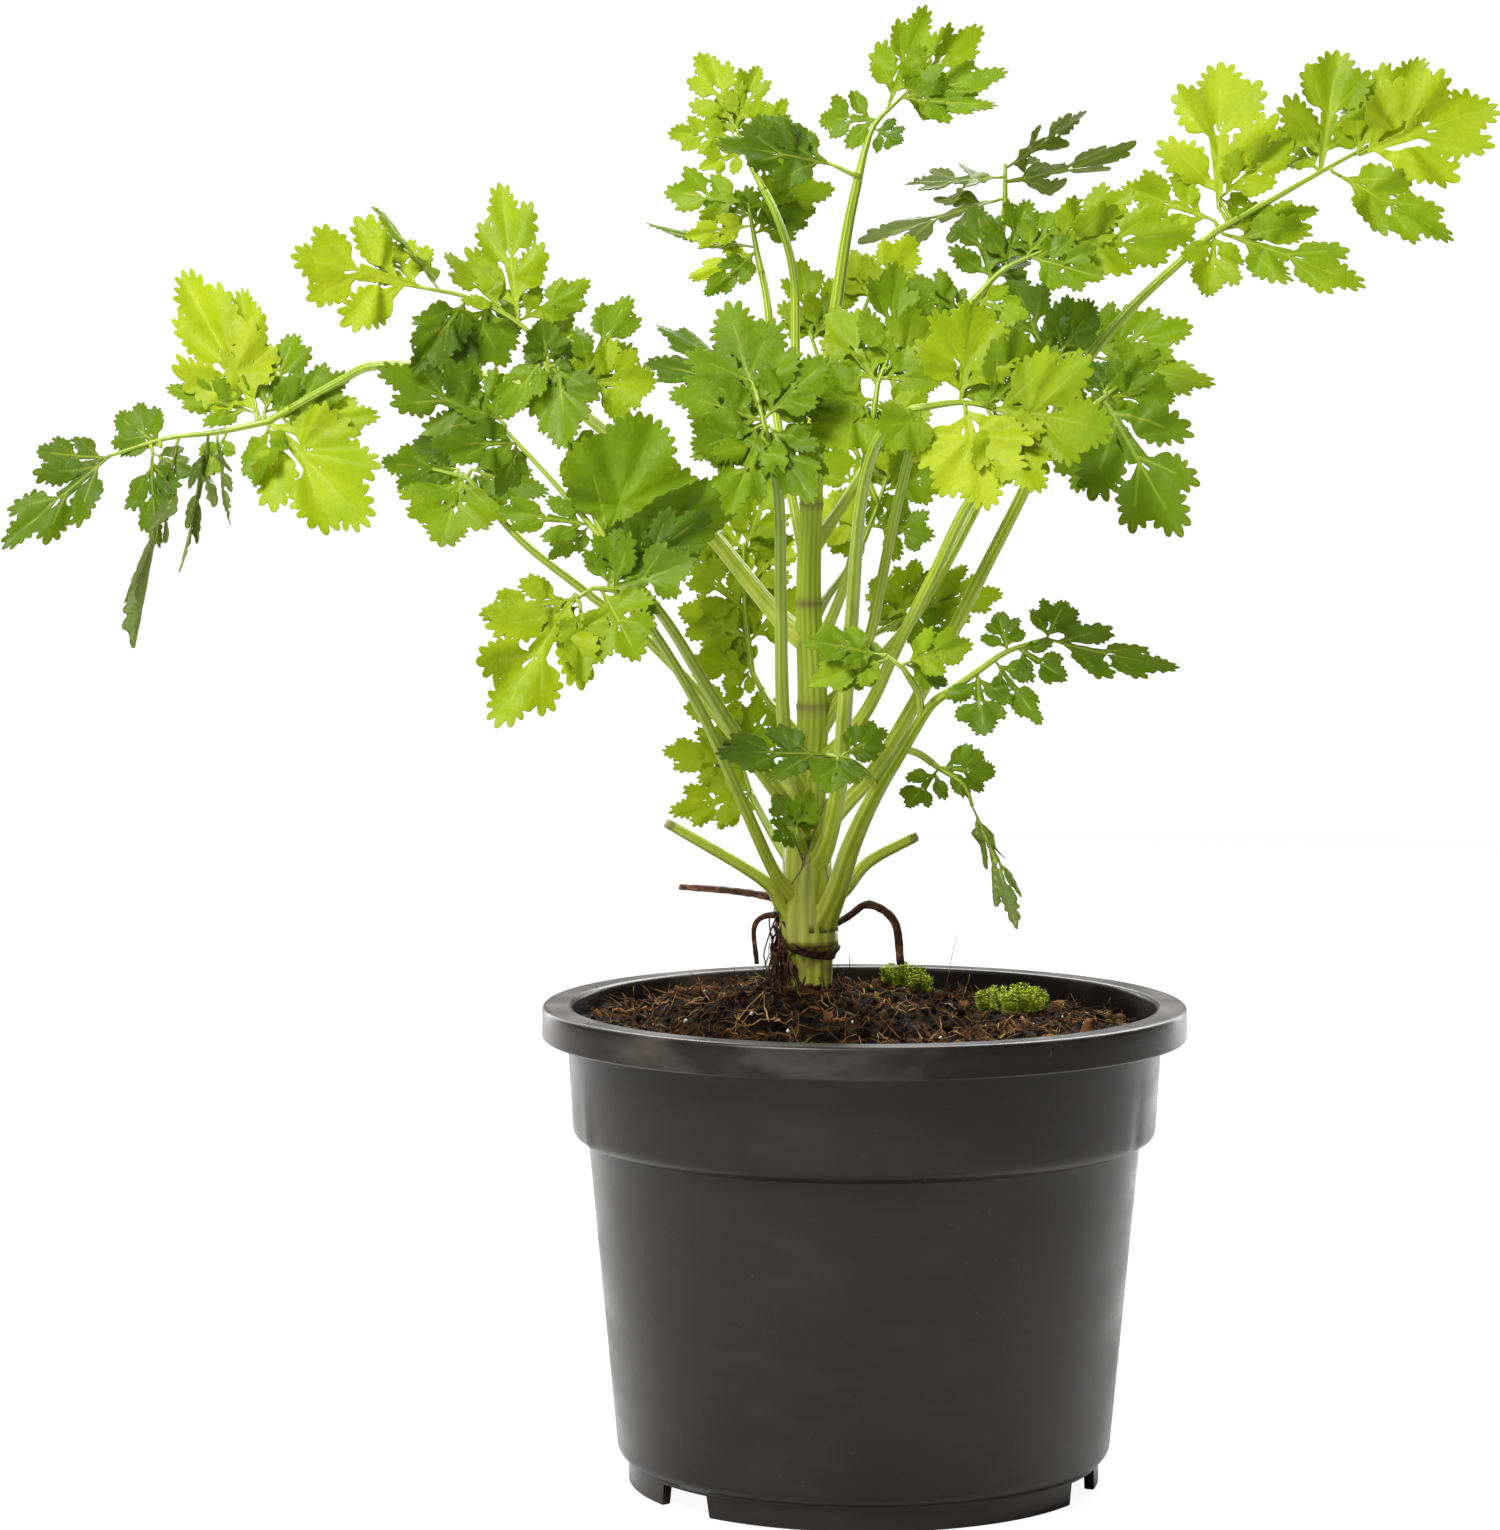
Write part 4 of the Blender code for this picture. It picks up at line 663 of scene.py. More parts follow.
def ramp(tree: Tree, factor: Socket, stops: dict[float, Colour]) -> Socket:
    """A colour that runs through these stops.

    Args:
        tree: the node tree.
        factor: where on the ramp the colour is taken.
        stops: the colour at each place, the first, the last and then those between.

    Returns:
        The colour's output.
    """
    node = tree.nodes.new("ShaderNodeValToRGB")
    for place in list(stops)[2:]:
        node.color_ramp.elements.new(place)
    for element, place in zip(node.color_ramp.elements, sorted(stops)):
        element.position = place
        element.color = (*stops[place], 1)
    tree.links.new(factor, node.inputs["Fac"])
    return node.outputs["Color"]


def material_nodes(name: str) -> tuple[bpy.types.Material, Tree, Node]:
    """A new material of this name, its node tree and its Principled node."""
    material = bpy.data.materials.new(name)
    material.use_nodes = True
    return material, material.node_tree, material.node_tree.nodes["Principled BSDF"]


def mixed(tree: Tree, factor: Socket | float, first: Socket | Colour, second: Socket | Colour,
          kind: str = "MIX") -> Socket:
    """A colour mix.

    Args:
        tree: the node tree.
        factor: how much the second colour counts.
        first: the first colour.
        second: the second colour.
        kind: how the second colour acts on the first.

    Returns:
        The mixed colour's output.
    """
    node = tree.nodes.new("ShaderNodeMix")
    node.data_type = "RGBA"
    node.blend_type = kind
    node.clamp_factor = True
    for index, value in ((0, factor), (6, first), (7, second)):
        if isinstance(value, Socket):
            tree.links.new(value, node.inputs[index])
        else:
            node.inputs[index].default_value = (*value, 1) if index else value
    return node.outputs[2]


def computed(tree: Tree, operation: str, first: Socket, second: Socket) -> Socket:
    """The sum or product of two numbers.

    Args:
        tree: the node tree.
        operation: ADD or MULTIPLY.
        first: the first number.
        second: the second number.

    Returns:
        The new number's output.
    """
    node = tree.nodes.new("ShaderNodeMath")
    node.operation = operation
    tree.links.new(first, node.inputs[0])
    tree.links.new(second, node.inputs[1])
    return node.outputs[0]


def texture(tree: Tree, scale: float, detail: float | None = 3.0, stretch: Point3 = (1, 1, 1)) -> Socket:
    """A noise or cell texture on Object coordinates.

    Args:
        tree: the node tree.
        scale: features per metre.
        detail: the noise's octaves, or None for cells.
        stretch: how much finer it is along each axis.

    Returns:
        The noise's value, or the distance to a cell's middle.
    """
    place = tree.nodes.new("ShaderNodeTexCoord")
    mapping = tree.nodes.new("ShaderNodeMapping")
    mapping.inputs["Scale"].default_value = stretch
    tree.links.new(place.outputs["Object"], mapping.inputs["Vector"])
    node = tree.nodes.new("ShaderNodeTexVoronoi" if detail is None else "ShaderNodeTexNoise")
    node.inputs["Scale"].default_value = scale
    if detail is not None:
        node.inputs["Detail"].default_value = detail
    tree.links.new(mapping.outputs["Vector"], node.inputs["Vector"])
    return node.outputs["Distance" if detail is None else "Fac"]


def value_range(tree: Tree, source: Socket, low: float, high: float, to_low: float, to_high: float) -> Socket:
    """A number mapped from one range to another and clamped.

    Args:
        tree: the node tree.
        source: the number.
        low: the first range's start.
        high: its end.
        to_low: what its start becomes.
        to_high: what its end becomes.

    Returns:
        The new number's output.
    """
    node = tree.nodes.new("ShaderNodeMapRange")
    tree.links.new(source, node.inputs["Value"])
    for name, number in (("From Min", low), ("From Max", high), ("To Min", to_low), ("To Max", to_high)):
        node.inputs[name].default_value = number
    return node.outputs["Result"]


def attribute(tree: Tree, name: str) -> Socket:
    """The number stored on the mesh under this name."""
    node = tree.nodes.new("ShaderNodeAttribute")
    node.attribute_name = name
    return node.outputs["Fac"]


def dress(tree: Tree, shader: Node, colour: Socket, rough: Socket, sheen: float) -> None:
    """Gives a shader its colour, its roughness and how much it shines.

    Args:
        tree: the node tree.
        shader: the shader.
        colour: its colour.
        rough: its roughness.
        sheen: how much it shines.
    """
    tree.links.new(colour, shader.inputs["Base Color"])
    tree.links.new(rough, shader.inputs["Roughness"])
    shader.inputs["Specular IOR Level"].default_value = sheen


def bump(tree: Tree, shader: Node, height: Socket, distance: float, strength: float) -> None:
    """Gives a shader small bumps.

    Args:
        tree: the node tree.
        shader: the shader.
        height: their height, 0 to 1.
        distance: the height of 1, in metres.
        strength: how strongly they show.
    """
    node = tree.nodes.new("ShaderNodeBump")
    node.inputs["Distance"].default_value = distance
    node.inputs["Strength"].default_value = strength
    tree.links.new(height, node.inputs["Height"])
    tree.links.new(node.outputs["Normal"], shader.inputs["Normal"])


def blend(tree: Tree, factor: Socket | float, first: Node, second: Node, output: str) -> None:
    """Ends a tree in a blend of two shaders.

    Args:
        tree: the node tree.
        factor: how much the second shader counts.
        first: the first shader.
        second: the second shader.
        output: the name of the tree's output node.
    """
    mix = tree.nodes.new("ShaderNodeMixShader")
    if isinstance(factor, Socket):
        tree.links.new(factor, mix.inputs["Fac"])
    else:
        mix.inputs["Fac"].default_value = factor
    tree.links.new(first.outputs[0], mix.inputs[1])
    tree.links.new(second.outputs[0], mix.inputs[2])
    tree.links.new(mix.outputs[0], tree.nodes[output].inputs["Surface"])


@dataclass(frozen=True)
class LeafFinish:
    """Leaf tissue: its tone from dull green to yellow-green, light veins, a paler underside."""

    dull: Colour = (0.125, 0.170, 0.045)
    dark: Colour = (0.082, 0.160, 0.004)
    fresh: Colour = (0.190, 0.310, 0.004)
    bright: Colour = (0.360, 0.470, 0.007)
    pale: Colour = (0.520, 0.610, 0.020)
    vein: Colour = (0.500, 0.570, 0.070)
    under: Colour = (0.280, 0.350, 0.075)
    glow: Colour = (0.620, 0.680, 0.002)
    net: Colour = (0.45, 0.55, 0.4)
    roughness: Point2 = (0.42, 0.62)
    sheen: float = 0.22
    through: float = 0.38  # the share of light that comes through

    def material(self) -> bpy.types.Material:
        """The finish as a material.

        Returns:
            The new material.
        """
        material, tree, shader = material_nodes("leaf_tissue")
        patches = value_range(tree, texture(tree, 70), 0.3, 0.7, -0.09, 0.09)
        tones = {0.0: self.dull, 1.0: self.pale, 0.28: self.dark, 0.55: self.fresh, 0.78: self.bright}
        colour = ramp(tree, computed(tree, "ADD", attribute(tree, "tone"), patches), tones)
        cells = texture(tree, 900, None)
        colour = mixed(tree, value_range(tree, cells, 0.0, 0.6, 0.0, 0.14), colour, self.net, "MULTIPLY")
        veins = value_range(tree, attribute(tree, "vein"), 0.15, 1.0, 0.0, 0.55)
        colour = mixed(tree, veins, colour, self.vein)
        below = value_range(tree, attribute(tree, "under"), 0.0, 1.0, 0.0, 0.6)
        colour = mixed(tree, below, colour, self.under)
        rough = value_range(tree, texture(tree, 260, 2), 0.3, 0.7, *self.roughness)
        dress(tree, shader, colour, rough, self.sheen)
        bump(tree, shader, cells, 0.12 * MM, 0.8)
        through = tree.nodes.new("ShaderNodeBsdfTranslucent")
        tree.links.new(mixed(tree, 0.45, colour, self.glow), through.inputs["Color"])
        blend(tree, self.through, shader, through, "Material Output")
        return material


@dataclass(frozen=True)
class StalkFinish:
    """Ribbed green skin, paler at its foot, with light streaks along its ribs."""

    name: str
    foot: Colour
    tip: Colour
    streak: Colour = (0.50, 0.56, 0.09)
    ring: Colour = (0.17, 0.105, 0.035)
    groove: Colour = (0.52, 0.62, 0.35)
    grain: Colour = (0.62, 0.74, 0.45)
    roughness: Point2 = (0.34, 0.5)
    sheen: float = 0.5

    def material(self) -> bpy.types.Material:
        """The finish as a material.

        Returns:
            The new material.
        """
        material, tree, shader = material_nodes(self.name)
        crest = attribute(tree, "crest")
        colour = ramp(tree, attribute(tree, "along"), {0.0: self.foot, 0.75: self.tip})
        colour = mixed(tree, value_range(tree, crest, 0.3, 1.0, 0.0, 0.42), colour, self.streak)
        colour = mixed(tree, value_range(tree, crest, 0.0, 0.35, 0.5, 0.0), colour, self.groove, "MULTIPLY")
        fine = texture(tree, 420, 3, (1, 1, 0.12))
        colour = mixed(tree, value_range(tree, fine, 0.35, 0.7, 0.0, 0.55), colour, self.grain, "MULTIPLY")
        colour = mixed(tree, attribute(tree, "ring"), colour, self.ring)
        dress(tree, shader, colour, value_range(tree, fine, 0.3, 0.7, *self.roughness), self.sheen)
        shader.inputs["Subsurface Weight"].default_value = 0.25
        shader.inputs["Subsurface Radius"].default_value = (0.6, 0.8, 0.2)
        shader.inputs["Subsurface Scale"].default_value = 0.002
        bump(tree, shader, fine, 0.12 * MM, 0.6)
        return material


@dataclass(frozen=True)
class PotFinish:
    """Black moulded plastic with a faint warm cast, fine specks of dust and smears on the rim."""

    black: Colour = (0.0095, 0.0080, 0.0070)
    worn: Colour = (0.0175, 0.0148, 0.0130)
    dust: Colour = (0.110, 0.096, 0.084)
    roughness: Point2 = (0.24, 0.38)
    sheen: float = 0.24

    def material(self) -> bpy.types.Material:
        """The finish as a material.

        Returns:
            The new material.
        """
        material, tree, shader = material_nodes("pot_plastic_moulded")
        clouds = value_range(tree, texture(tree, 14, 4), 0.35, 0.75, 0.0, 1.0)
        colour = mixed(tree, clouds, self.black, self.worn)
        specks = value_range(tree, texture(tree, 900, 2), 0.71, 0.78, 0.0, 0.5)
        patches = value_range(tree, texture(tree, 30), 0.45, 0.7, 0.0, 1.0)
        colour = mixed(tree, computed(tree, "MULTIPLY", specks, patches), colour, self.dust)
        smear = texture(tree, 45, 5, (1, 1, 2.4))
        smears = value_range(tree, smear, 0.5, 0.72, 0.0, 0.35)
        colour = mixed(tree, computed(tree, "MULTIPLY", smears, attribute(tree, "rim")), colour, self.dust)
        dress(tree, shader, colour, value_range(tree, smear, 0.3, 0.7, *self.roughness), self.sheen)
        bump(tree, shader, texture(tree, 1300, 2), 0.03 * MM, 0.5)
        return material


@dataclass(frozen=True)
class CrumbFinish:
    """A rough earthy finish whose colour wanders between three shades."""

    name: str
    shades: tuple[Colour, Colour, Colour]
    scale: float = 260
    grain: float = 1500
    sheen: float = 0.05
    roughness: Point2 = (0.75, 1.0)

    def material(self) -> bpy.types.Material:
        """The finish as a material.

        Returns:
            The new material.
        """
        material, tree, shader = material_nodes(self.name)
        dark, middle, light = self.shades
        colour = ramp(tree, texture(tree, self.scale, 4), {0.30: dark, 0.70: light, 0.52: middle})
        grain = texture(tree, self.grain)
        dress(tree, shader, colour, value_range(tree, grain, 0.3, 0.7, *self.roughness), self.sheen)
        bump(tree, shader, grain, 0.4 * MM, 0.7)
        return material


PEAT = CrumbFinish("peat_dark", (
    (0.0012, 0.0007, 0.0003), (0.006, 0.003, 0.0012), (0.045, 0.024, 0.009)))
PEAT_CRUMB = CrumbFinish("peat_crumb", (
    (0.0015, 0.0008, 0.0004), (0.007, 0.0035, 0.0013), (0.070, 0.038, 0.013)), 190)
BARK = CrumbFinish("bark_chip", ((0.030, 0.013, 0.006), (0.130, 0.060, 0.022), (0.420, 0.220, 0.085)), 120)
GRIT = CrumbFinish("perlite", ((0.35, 0.33, 0.28), (0.60, 0.58, 0.52), (0.75, 0.73, 0.68)), 500)
FIBRE = CrumbFinish("peat_fibre", ((0.022, 0.009, 0.003), (0.100, 0.046, 0.013), (0.440, 0.250, 0.080)), 120)
DRY_STALK = CrumbFinish("dry_stalk_brown", (
    (0.022, 0.009, 0.005), (0.070, 0.028, 0.013), (0.230, 0.110, 0.050)), 420, sheen=0.3)
CUT_END = CrumbFinish("cut_end_tan", (
    (0.300, 0.190, 0.090), (0.420, 0.300, 0.160), (0.520, 0.400, 0.240)), 900)
MOSS_SHADES = ((0.090, 0.150, 0.004), (0.420, 0.520, 0.020), (0.760, 0.800, 0.160))
STEM_SKIN = StalkFinish("stem_skin_ribbed", (0.43, 0.46, 0.045), (0.40, 0.50, 0.018))
STALK_SKIN = StalkFinish("stalk_skin_ribbed", (0.50, 0.55, 0.045), (0.24, 0.34, 0.008))


# ---------------------------------------------------------------- pieces


def show(obj: bpy.types.Object, slot: str, *nodes: str) -> bpy.types.Object:
    """Puts a finished piece on the object.

    Args:
        obj: the piece.
        slot: the record's material slot; not used.
        nodes: the solids it stands for.

    Returns:
        The piece.
    """
    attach(obj, "root")
    if nodes:
        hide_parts(*nodes)
    LOG.info("%s: %d faces", obj.name, len(obj.data.polygons))
    return obj


def turn_profile(name: str, profile: list[Point2], steps: int) -> bpy.types.Object:
    """A closed solid of revolution, raised ring by ring from a circle.

    Args:
        name: its name.
        profile: radius and height of each ring, going round the section.
        steps: how many sides each ring has.

    Returns:
        The object, with flat discs at both ends of the profile.
    """
    (radius, height), *rest = profile
    bpy.ops.object.select_all(action="DESELECT")
    bpy.ops.mesh.primitive_circle_add(
        vertices=steps, radius=radius, fill_type="NGON", location=(AXIS.x, AXIS.y, height))
    obj = bpy.context.object
    obj.name = obj.data.name = name
    bpy.ops.object.mode_set(mode="EDIT")
    bpy.ops.mesh.select_all(action="SELECT")
    for next_radius, next_height in rest:
        bpy.ops.mesh.extrude_region_move(
            TRANSFORM_OT_translate={"value": (0, 0, next_height - height)})
        scale = next_radius / radius
        bpy.ops.transform.resize(
            value=(scale, scale, 1), center_override=(AXIS.x, AXIS.y, next_height))
        radius, height = next_radius, next_height
    bpy.ops.mesh.select_all(action="SELECT")
    bpy.ops.mesh.normals_make_consistent(inside=False)
    bpy.ops.object.mode_set(mode="OBJECT")
    bpy.ops.object.transform_apply(location=True, rotation=True, scale=True)
    return obj


def arc(centre: Point2, radius: float, start: float, end: float, steps: int) -> list[Point2]:
    """Points of an arc in the profile's plane, with angles in degrees."""
    angles = [math.radians(start + (end - start) * i / steps) for i in range(steps + 1)]
    return [(centre[0] + radius * math.cos(a), centre[1] + radius * math.sin(a)) for a in angles]


def climb(start: Point2, end: Point2, steps: int) -> list[Point2]:
    """Points between two corners of a profile, without the corners."""
    return [(start[0] + (end[0] - start[0]) * i / steps, start[1] + (end[1] - start[1]) * i / steps)
            for i in range(1, steps)]


@dataclass
class Pot:
    """The nursery pot, turned, notched at its foot and drained through its floor."""

    wall: float = 1.4 * MM
    rim_depth: float = 7.5 * MM
    rim_thickness: float = 2.2 * MM
    skirt_wall: float = 1.4 * MM
    collar: Point2 = (69.4 * MM, 67.9 * MM)  # radius under the rim and at the collar's foot
    collar_foot: float = 84 * MM
    body: Point2 = (64.2 * MM, 57.7 * MM)  # radius under the collar and at the foot
    body_top: float = 80 * MM
    corner: float = 4 * MM
    foot_radius: float = 55 * MM
    foot_width: float = 2.4 * MM
    foot_height: float = 5.5 * MM
    notch_angles: tuple[int, ...] = (-138, -22, 42, 100, 162)
    notch_length: float = 15 * MM
    drain: Point2 = (4.5 * MM, 44 * MM)  # radius, and distance from the axis
    edge_round: float = 0.35 * MM
    creases: Point2 = (-158, -24)  # where they are, in degrees: the first stands out, the other in
    crease_height: float = 0.55 * MM
    crease_width: float = 1.6  # degrees
    crease_length: float = 20 * MM
    steps: int = 192

    def inside_radius(self, height: float) -> float:
        """The inside radius at a height on the collar."""
        share = (height - self.collar_foot) / (POT_HEIGHT - self.collar_foot)
        return self.collar[1] + (self.collar[0] - self.collar[1]) * share - self.wall

    def profile(self) -> list[Point2]:
        """The section's rings, from the underside's middle round to the floor's middle.

        Returns:
            The radius and height of each ring.
        """
        under_rim = POT_HEIGHT - self.rim_thickness
        skirt_foot = POT_HEIGHT - self.rim_depth
        foot_inner = self.foot_radius - self.foot_width
        half = self.rim_thickness / 2
        inner = self.collar[0] - self.wall
        skirt = RIM_RADIUS - self.skirt_wall
        rim_side = RIM_RADIUS - 0.1 * MM
        rim_top = POT_HEIGHT - 0.15 * MM
        floor = self.foot_height + self.wall
        small = self.edge_round
        body_foot = (self.body[1], self.foot_height + self.corner)
        ledge = (self.body[0] + 1.6 * MM, self.body_top + 0.9 * MM)
        collar_low = (self.collar[1], self.collar_foot)
        collar_high = (self.collar[0], under_rim - small)
        return [
            (1 * MM, self.foot_height), (foot_inner - small, self.foot_height),
            (foot_inner, self.foot_height - small),
            *arc((foot_inner + small, small), small, 180, 270, 3),
            *arc((self.foot_radius - small, small), small, 270, 360, 3),
            (self.foot_radius, self.foot_height - small), (self.foot_radius + 0.1 * MM, self.foot_height),
            *arc((self.body[1] - self.corner, body_foot[1]), self.corner, -62, 0, 8),
            *climb(body_foot, (self.body[0], self.body_top), 12),
            (self.body[0], self.body_top - small), (self.body[0] + 0.15 * MM, self.body_top + 0.2 * MM),
            ledge, (self.collar[1] - 0.7 * MM, self.collar_foot - 2.2 * MM),
            (self.collar[1] - 0.15 * MM, self.collar_foot - 1.2 * MM),
            collar_low, *climb(collar_low, collar_high, 10), collar_high,
            (self.collar[0] + small, under_rim),
            (skirt - small, under_rim), (skirt, under_rim - small),
            (skirt, skirt_foot + small), (skirt + small, skirt_foot),
            (RIM_RADIUS - small, skirt_foot), (RIM_RADIUS, skirt_foot + small),
            (rim_side, skirt_foot + self.rim_depth / 2),
            *arc((rim_side - half, POT_HEIGHT - half), half, 0, 90, 6),
            (RIM_RADIUS - 3 * MM, rim_top), (inner + half + 1 * MM, rim_top),
            *arc((inner + half, POT_HEIGHT - half), half, 90, 180, 6),
            (inner - 0.3 * MM, POT_HEIGHT - 6 * MM),
            (self.collar[1] - self.wall, self.collar_foot), (self.body[0] - self.wall, self.body_top),
            (self.body[1] - self.wall, self.foot_height + self.corner),
            (self.body[1] - self.corner, floor), (1 * MM, floor),
        ]

    def cut(self, pot: bpy.types.Object, cutter: bpy.types.Object) -> None:
        """Cuts one object out of the pot and removes the cutter.

        Args:
            pot: the pot.
            cutter: the object.
        """
        boolean = pot.modifiers.new("cut", "BOOLEAN")
        boolean.operation, boolean.solver, boolean.object = "DIFFERENCE", "EXACT", cutter
        bpy.context.view_layer.objects.active = pot
        bpy.ops.object.modifier_apply(modifier="cut")
        bpy.data.objects.remove(cutter)

    def notch(self, pot: bpy.types.Object, angle: float) -> None:
        """Cuts a notch with sloping ends through the foot ring, and the drain hole beside it.

        Args:
            pot: the pot.
            angle: where the notch is, in degrees.
        """
        turn = Matrix.Rotation(math.radians(angle), 4, "Z")
        bpy.ops.object.select_all(action="DESELECT")
        bpy.ops.mesh.primitive_cube_add(size=1)
        block = bpy.context.object
        height = 2 * (self.foot_height - 0.5 * MM)
        block.data.transform(Matrix.Diagonal((4 * self.foot_width, self.notch_length, height, 1)))
        for vertex in block.data.vertices:
            if vertex.co.z < 0:
                vertex.co.y *= 1.25
        block.data.transform(Matrix.Translation(AXIS) @ turn @ Matrix.Translation((self.foot_radius, 0, 0)))
        self.cut(pot, block)
        bpy.ops.mesh.primitive_cylinder_add(vertices=40, radius=self.drain[0], depth=8 * self.wall)
        hole = bpy.context.object
        hole.data.transform(
            Matrix.Translation(AXIS) @ turn @ Matrix.Translation((self.drain[1], 0, self.foot_height)))
        hole.location = (0, 0, 0)
        self.cut(pot, hole)

    def mould_marks(self, pot: bpy.types.Object) -> None:
        """Raises the faint upright creases that the mould leaves at the collar's foot.

        Args:
            pot: the pot.
        """
        for vertex in pot.data.vertices:
            place = vertex.co - AXIS
            radius = math.hypot(place.x, place.y)
            on_collar = self.collar[1] - 1 * MM < radius < self.collar[0] + 0.2 * MM
            if not on_collar or not self.body_top <= place.z <= self.body_top + self.crease_length:
                continue
            angle = math.degrees(math.atan2(place.y, place.x))
            for mark, way in zip(self.creases, (1, -1)):
                off = (angle - mark) / self.crease_width
                fade = max(0.0, 1 - (place.z - self.body_top) / self.crease_length)
                vertex.co += Vector((place.x, place.y, 0)).normalized() * (
                    self.crease_height * math.exp(-off * off) * fade * way)

    def build(self) -> None:
        """Builds and shows the pot."""
        pot = turn_profile("nursery_pot", self.profile(), self.steps)
        self.mould_marks(pot)
        for angle in self.notch_angles:
            self.notch(pot, angle)
        values = pot.data.attributes.new("rim", "FLOAT", "POINT")
        for vertex, value in zip(pot.data.vertices, values.data):
            value.value = 1.0 if vertex.co.z > POT_HEIGHT - self.rim_depth - 1 * MM else 0.15
        pot.data.materials.clear()
        pot.data.materials.append(PotFinish().material())
        bpy.ops.object.select_all(action="DESELECT")
        pot.select_set(True)
        bpy.context.view_layer.objects.active = pot
        bpy.ops.object.shade_smooth_by_angle(angle=math.radians(32))
        show(pot, "pot_plastic", "pot")


@dataclass
class Soil:
    """Fibrous peat heaped round the stem, with crumbs, bark, fibres and white grit on it."""

    pot: Pot
    edge_height: float = POT_HEIGHT - 6.5 * MM
    middle_height: float = POT_HEIGHT - 4.5 * MM
    mound: Point2 = (38 * MM, 9 * MM)  # radius and height
    mound_x: float = AXIS.x - 12.5 * MM
    rings: int = 90
    crumbs: int = 3600
    fibres: int = 1100
    chips: int = 150
    grits: int = 42
    lump_height: float = 1.7 * MM
    fine_height: float = 0.8 * MM
    left_bank: float = 2.2 * MM
    hairs: tuple = (  # x and y of a stray hair root, how high it rises and how far it leans, in millimetres
        (17, -8, 17, 4.5), (19, -7, 10, -6), (-47, -12, 9, 5),
        (-38, -20, 6, 4), (31, -22, 7, -5), (-20, 14, 8, -4),
    )
    rng: random.Random = field(default_factory=lambda: random.Random(11))

    def height(self, x: float, y: float) -> float:
        """The height of the soil's surface here, lumps and all.

        Args:
            x: the place, in metres.
            y: the place, in metres.

        Returns:
            The height, in metres.
        """
        radius = math.hypot(x - AXIS.x, y - AXIS.y)
        edge = self.pot.inside_radius(self.edge_height)
        share = min(max((radius / edge - 0.7) / 0.3, 0), 1)
        base = self.middle_height + (self.edge_height - self.middle_height) * share
        from_stem = math.hypot(x - self.mound_x, y) / self.mound[0]
        heap = (self.mound[1] - 1 * MM) * math.sqrt(max(0.0, 1 - from_stem ** 2))
        place = Vector((x, y, 0))
        lumps = noise.fractal(place * 110, 0.9, 2.1, 5) * self.lump_height
        fine = noise.fractal(place * 520 + Vector((3, 7, 1)), 0.8, 2.2, 4) * self.fine_height
        bank = self.left_bank * max(0.0, -(x - AXIS.x) / edge) ** 2
        return base + heap * 0.92 + bank + (lumps + fine) * (1 - 0.35 * share)

    def surface(self) -> bpy.types.Object:
        """The body of soil with its lumpy top.

        Returns:
            The new object.
        """
        pot = self.pot
        edge = pot.inside_radius(self.edge_height) - GAP
        inner = [(pot.body[1] - pot.corner - GAP, pot.foot_height + pot.wall + GAP),
                 (pot.body[1] - pot.wall - GAP, pot.foot_height + pot.corner + GAP),
                 (pot.body[0] - pot.wall - GAP, pot.body_top),
                 (pot.collar[1] - pot.wall - GAP, pot.collar_foot),
                 (edge - 0.1 * MM, self.edge_height - 6 * MM)]
        top = [(edge * (1 - i / self.rings), self.edge_height) for i in range(self.rings)]
        profile = [(1 * MM, inner[0][1]), *inner, *top]
        soil = turn_profile("peat", profile, 240)
        for vertex in soil.data.vertices:
            if vertex.co.z > self.edge_height - 1 * MM:
                vertex.co.z = self.height(vertex.co.x, vertex.co.y)
        soil.data.materials.clear()
        soil.data.materials.append(PEAT.material())
        soil.data.polygons.foreach_set("use_smooth", [True] * len(soil.data.polygons))
        return soil

    def spot(self, reach: float = 0.97) -> tuple[float, float]:
        """A place on the soil, chosen evenly over its area."""
        radius = self.pot.inside_radius(self.edge_height) * reach * math.sqrt(self.rng.random())
        angle = self.rng.uniform(0, 2 * math.pi)
        return AXIS.x + radius * math.cos(angle), radius * math.sin(angle)

    def lump(self, buffer: MeshBuffer, centre: Vector, radii: Vector) -> None:
        """Adds a lump of twenty faces, dented and turned at random.

        Args:
            buffer: the mesh it joins.
            centre: its middle.
            radii: its size along each axis.
        """
        shape = bmesh.new()
        bmesh.ops.create_icosphere(shape, subdivisions=1, radius=1)
        rng = self.rng
        turn = Matrix.Rotation(rng.uniform(0, 6.3), 4, Vector([rng.gauss(0, 1) for _ in range(3)]))
        points = []
        for vertex in shape.verts:
            dent = rng.uniform(0.65, 1.25)
            place = Vector([c * r * dent for c, r in zip(vertex.co, radii)])
            points.append(centre + turn @ place)
        shape.verts.ensure_lookup_table()
        buffer.add(points, [tuple(v.index for v in f.verts) for f in shape.faces])
        shape.free()

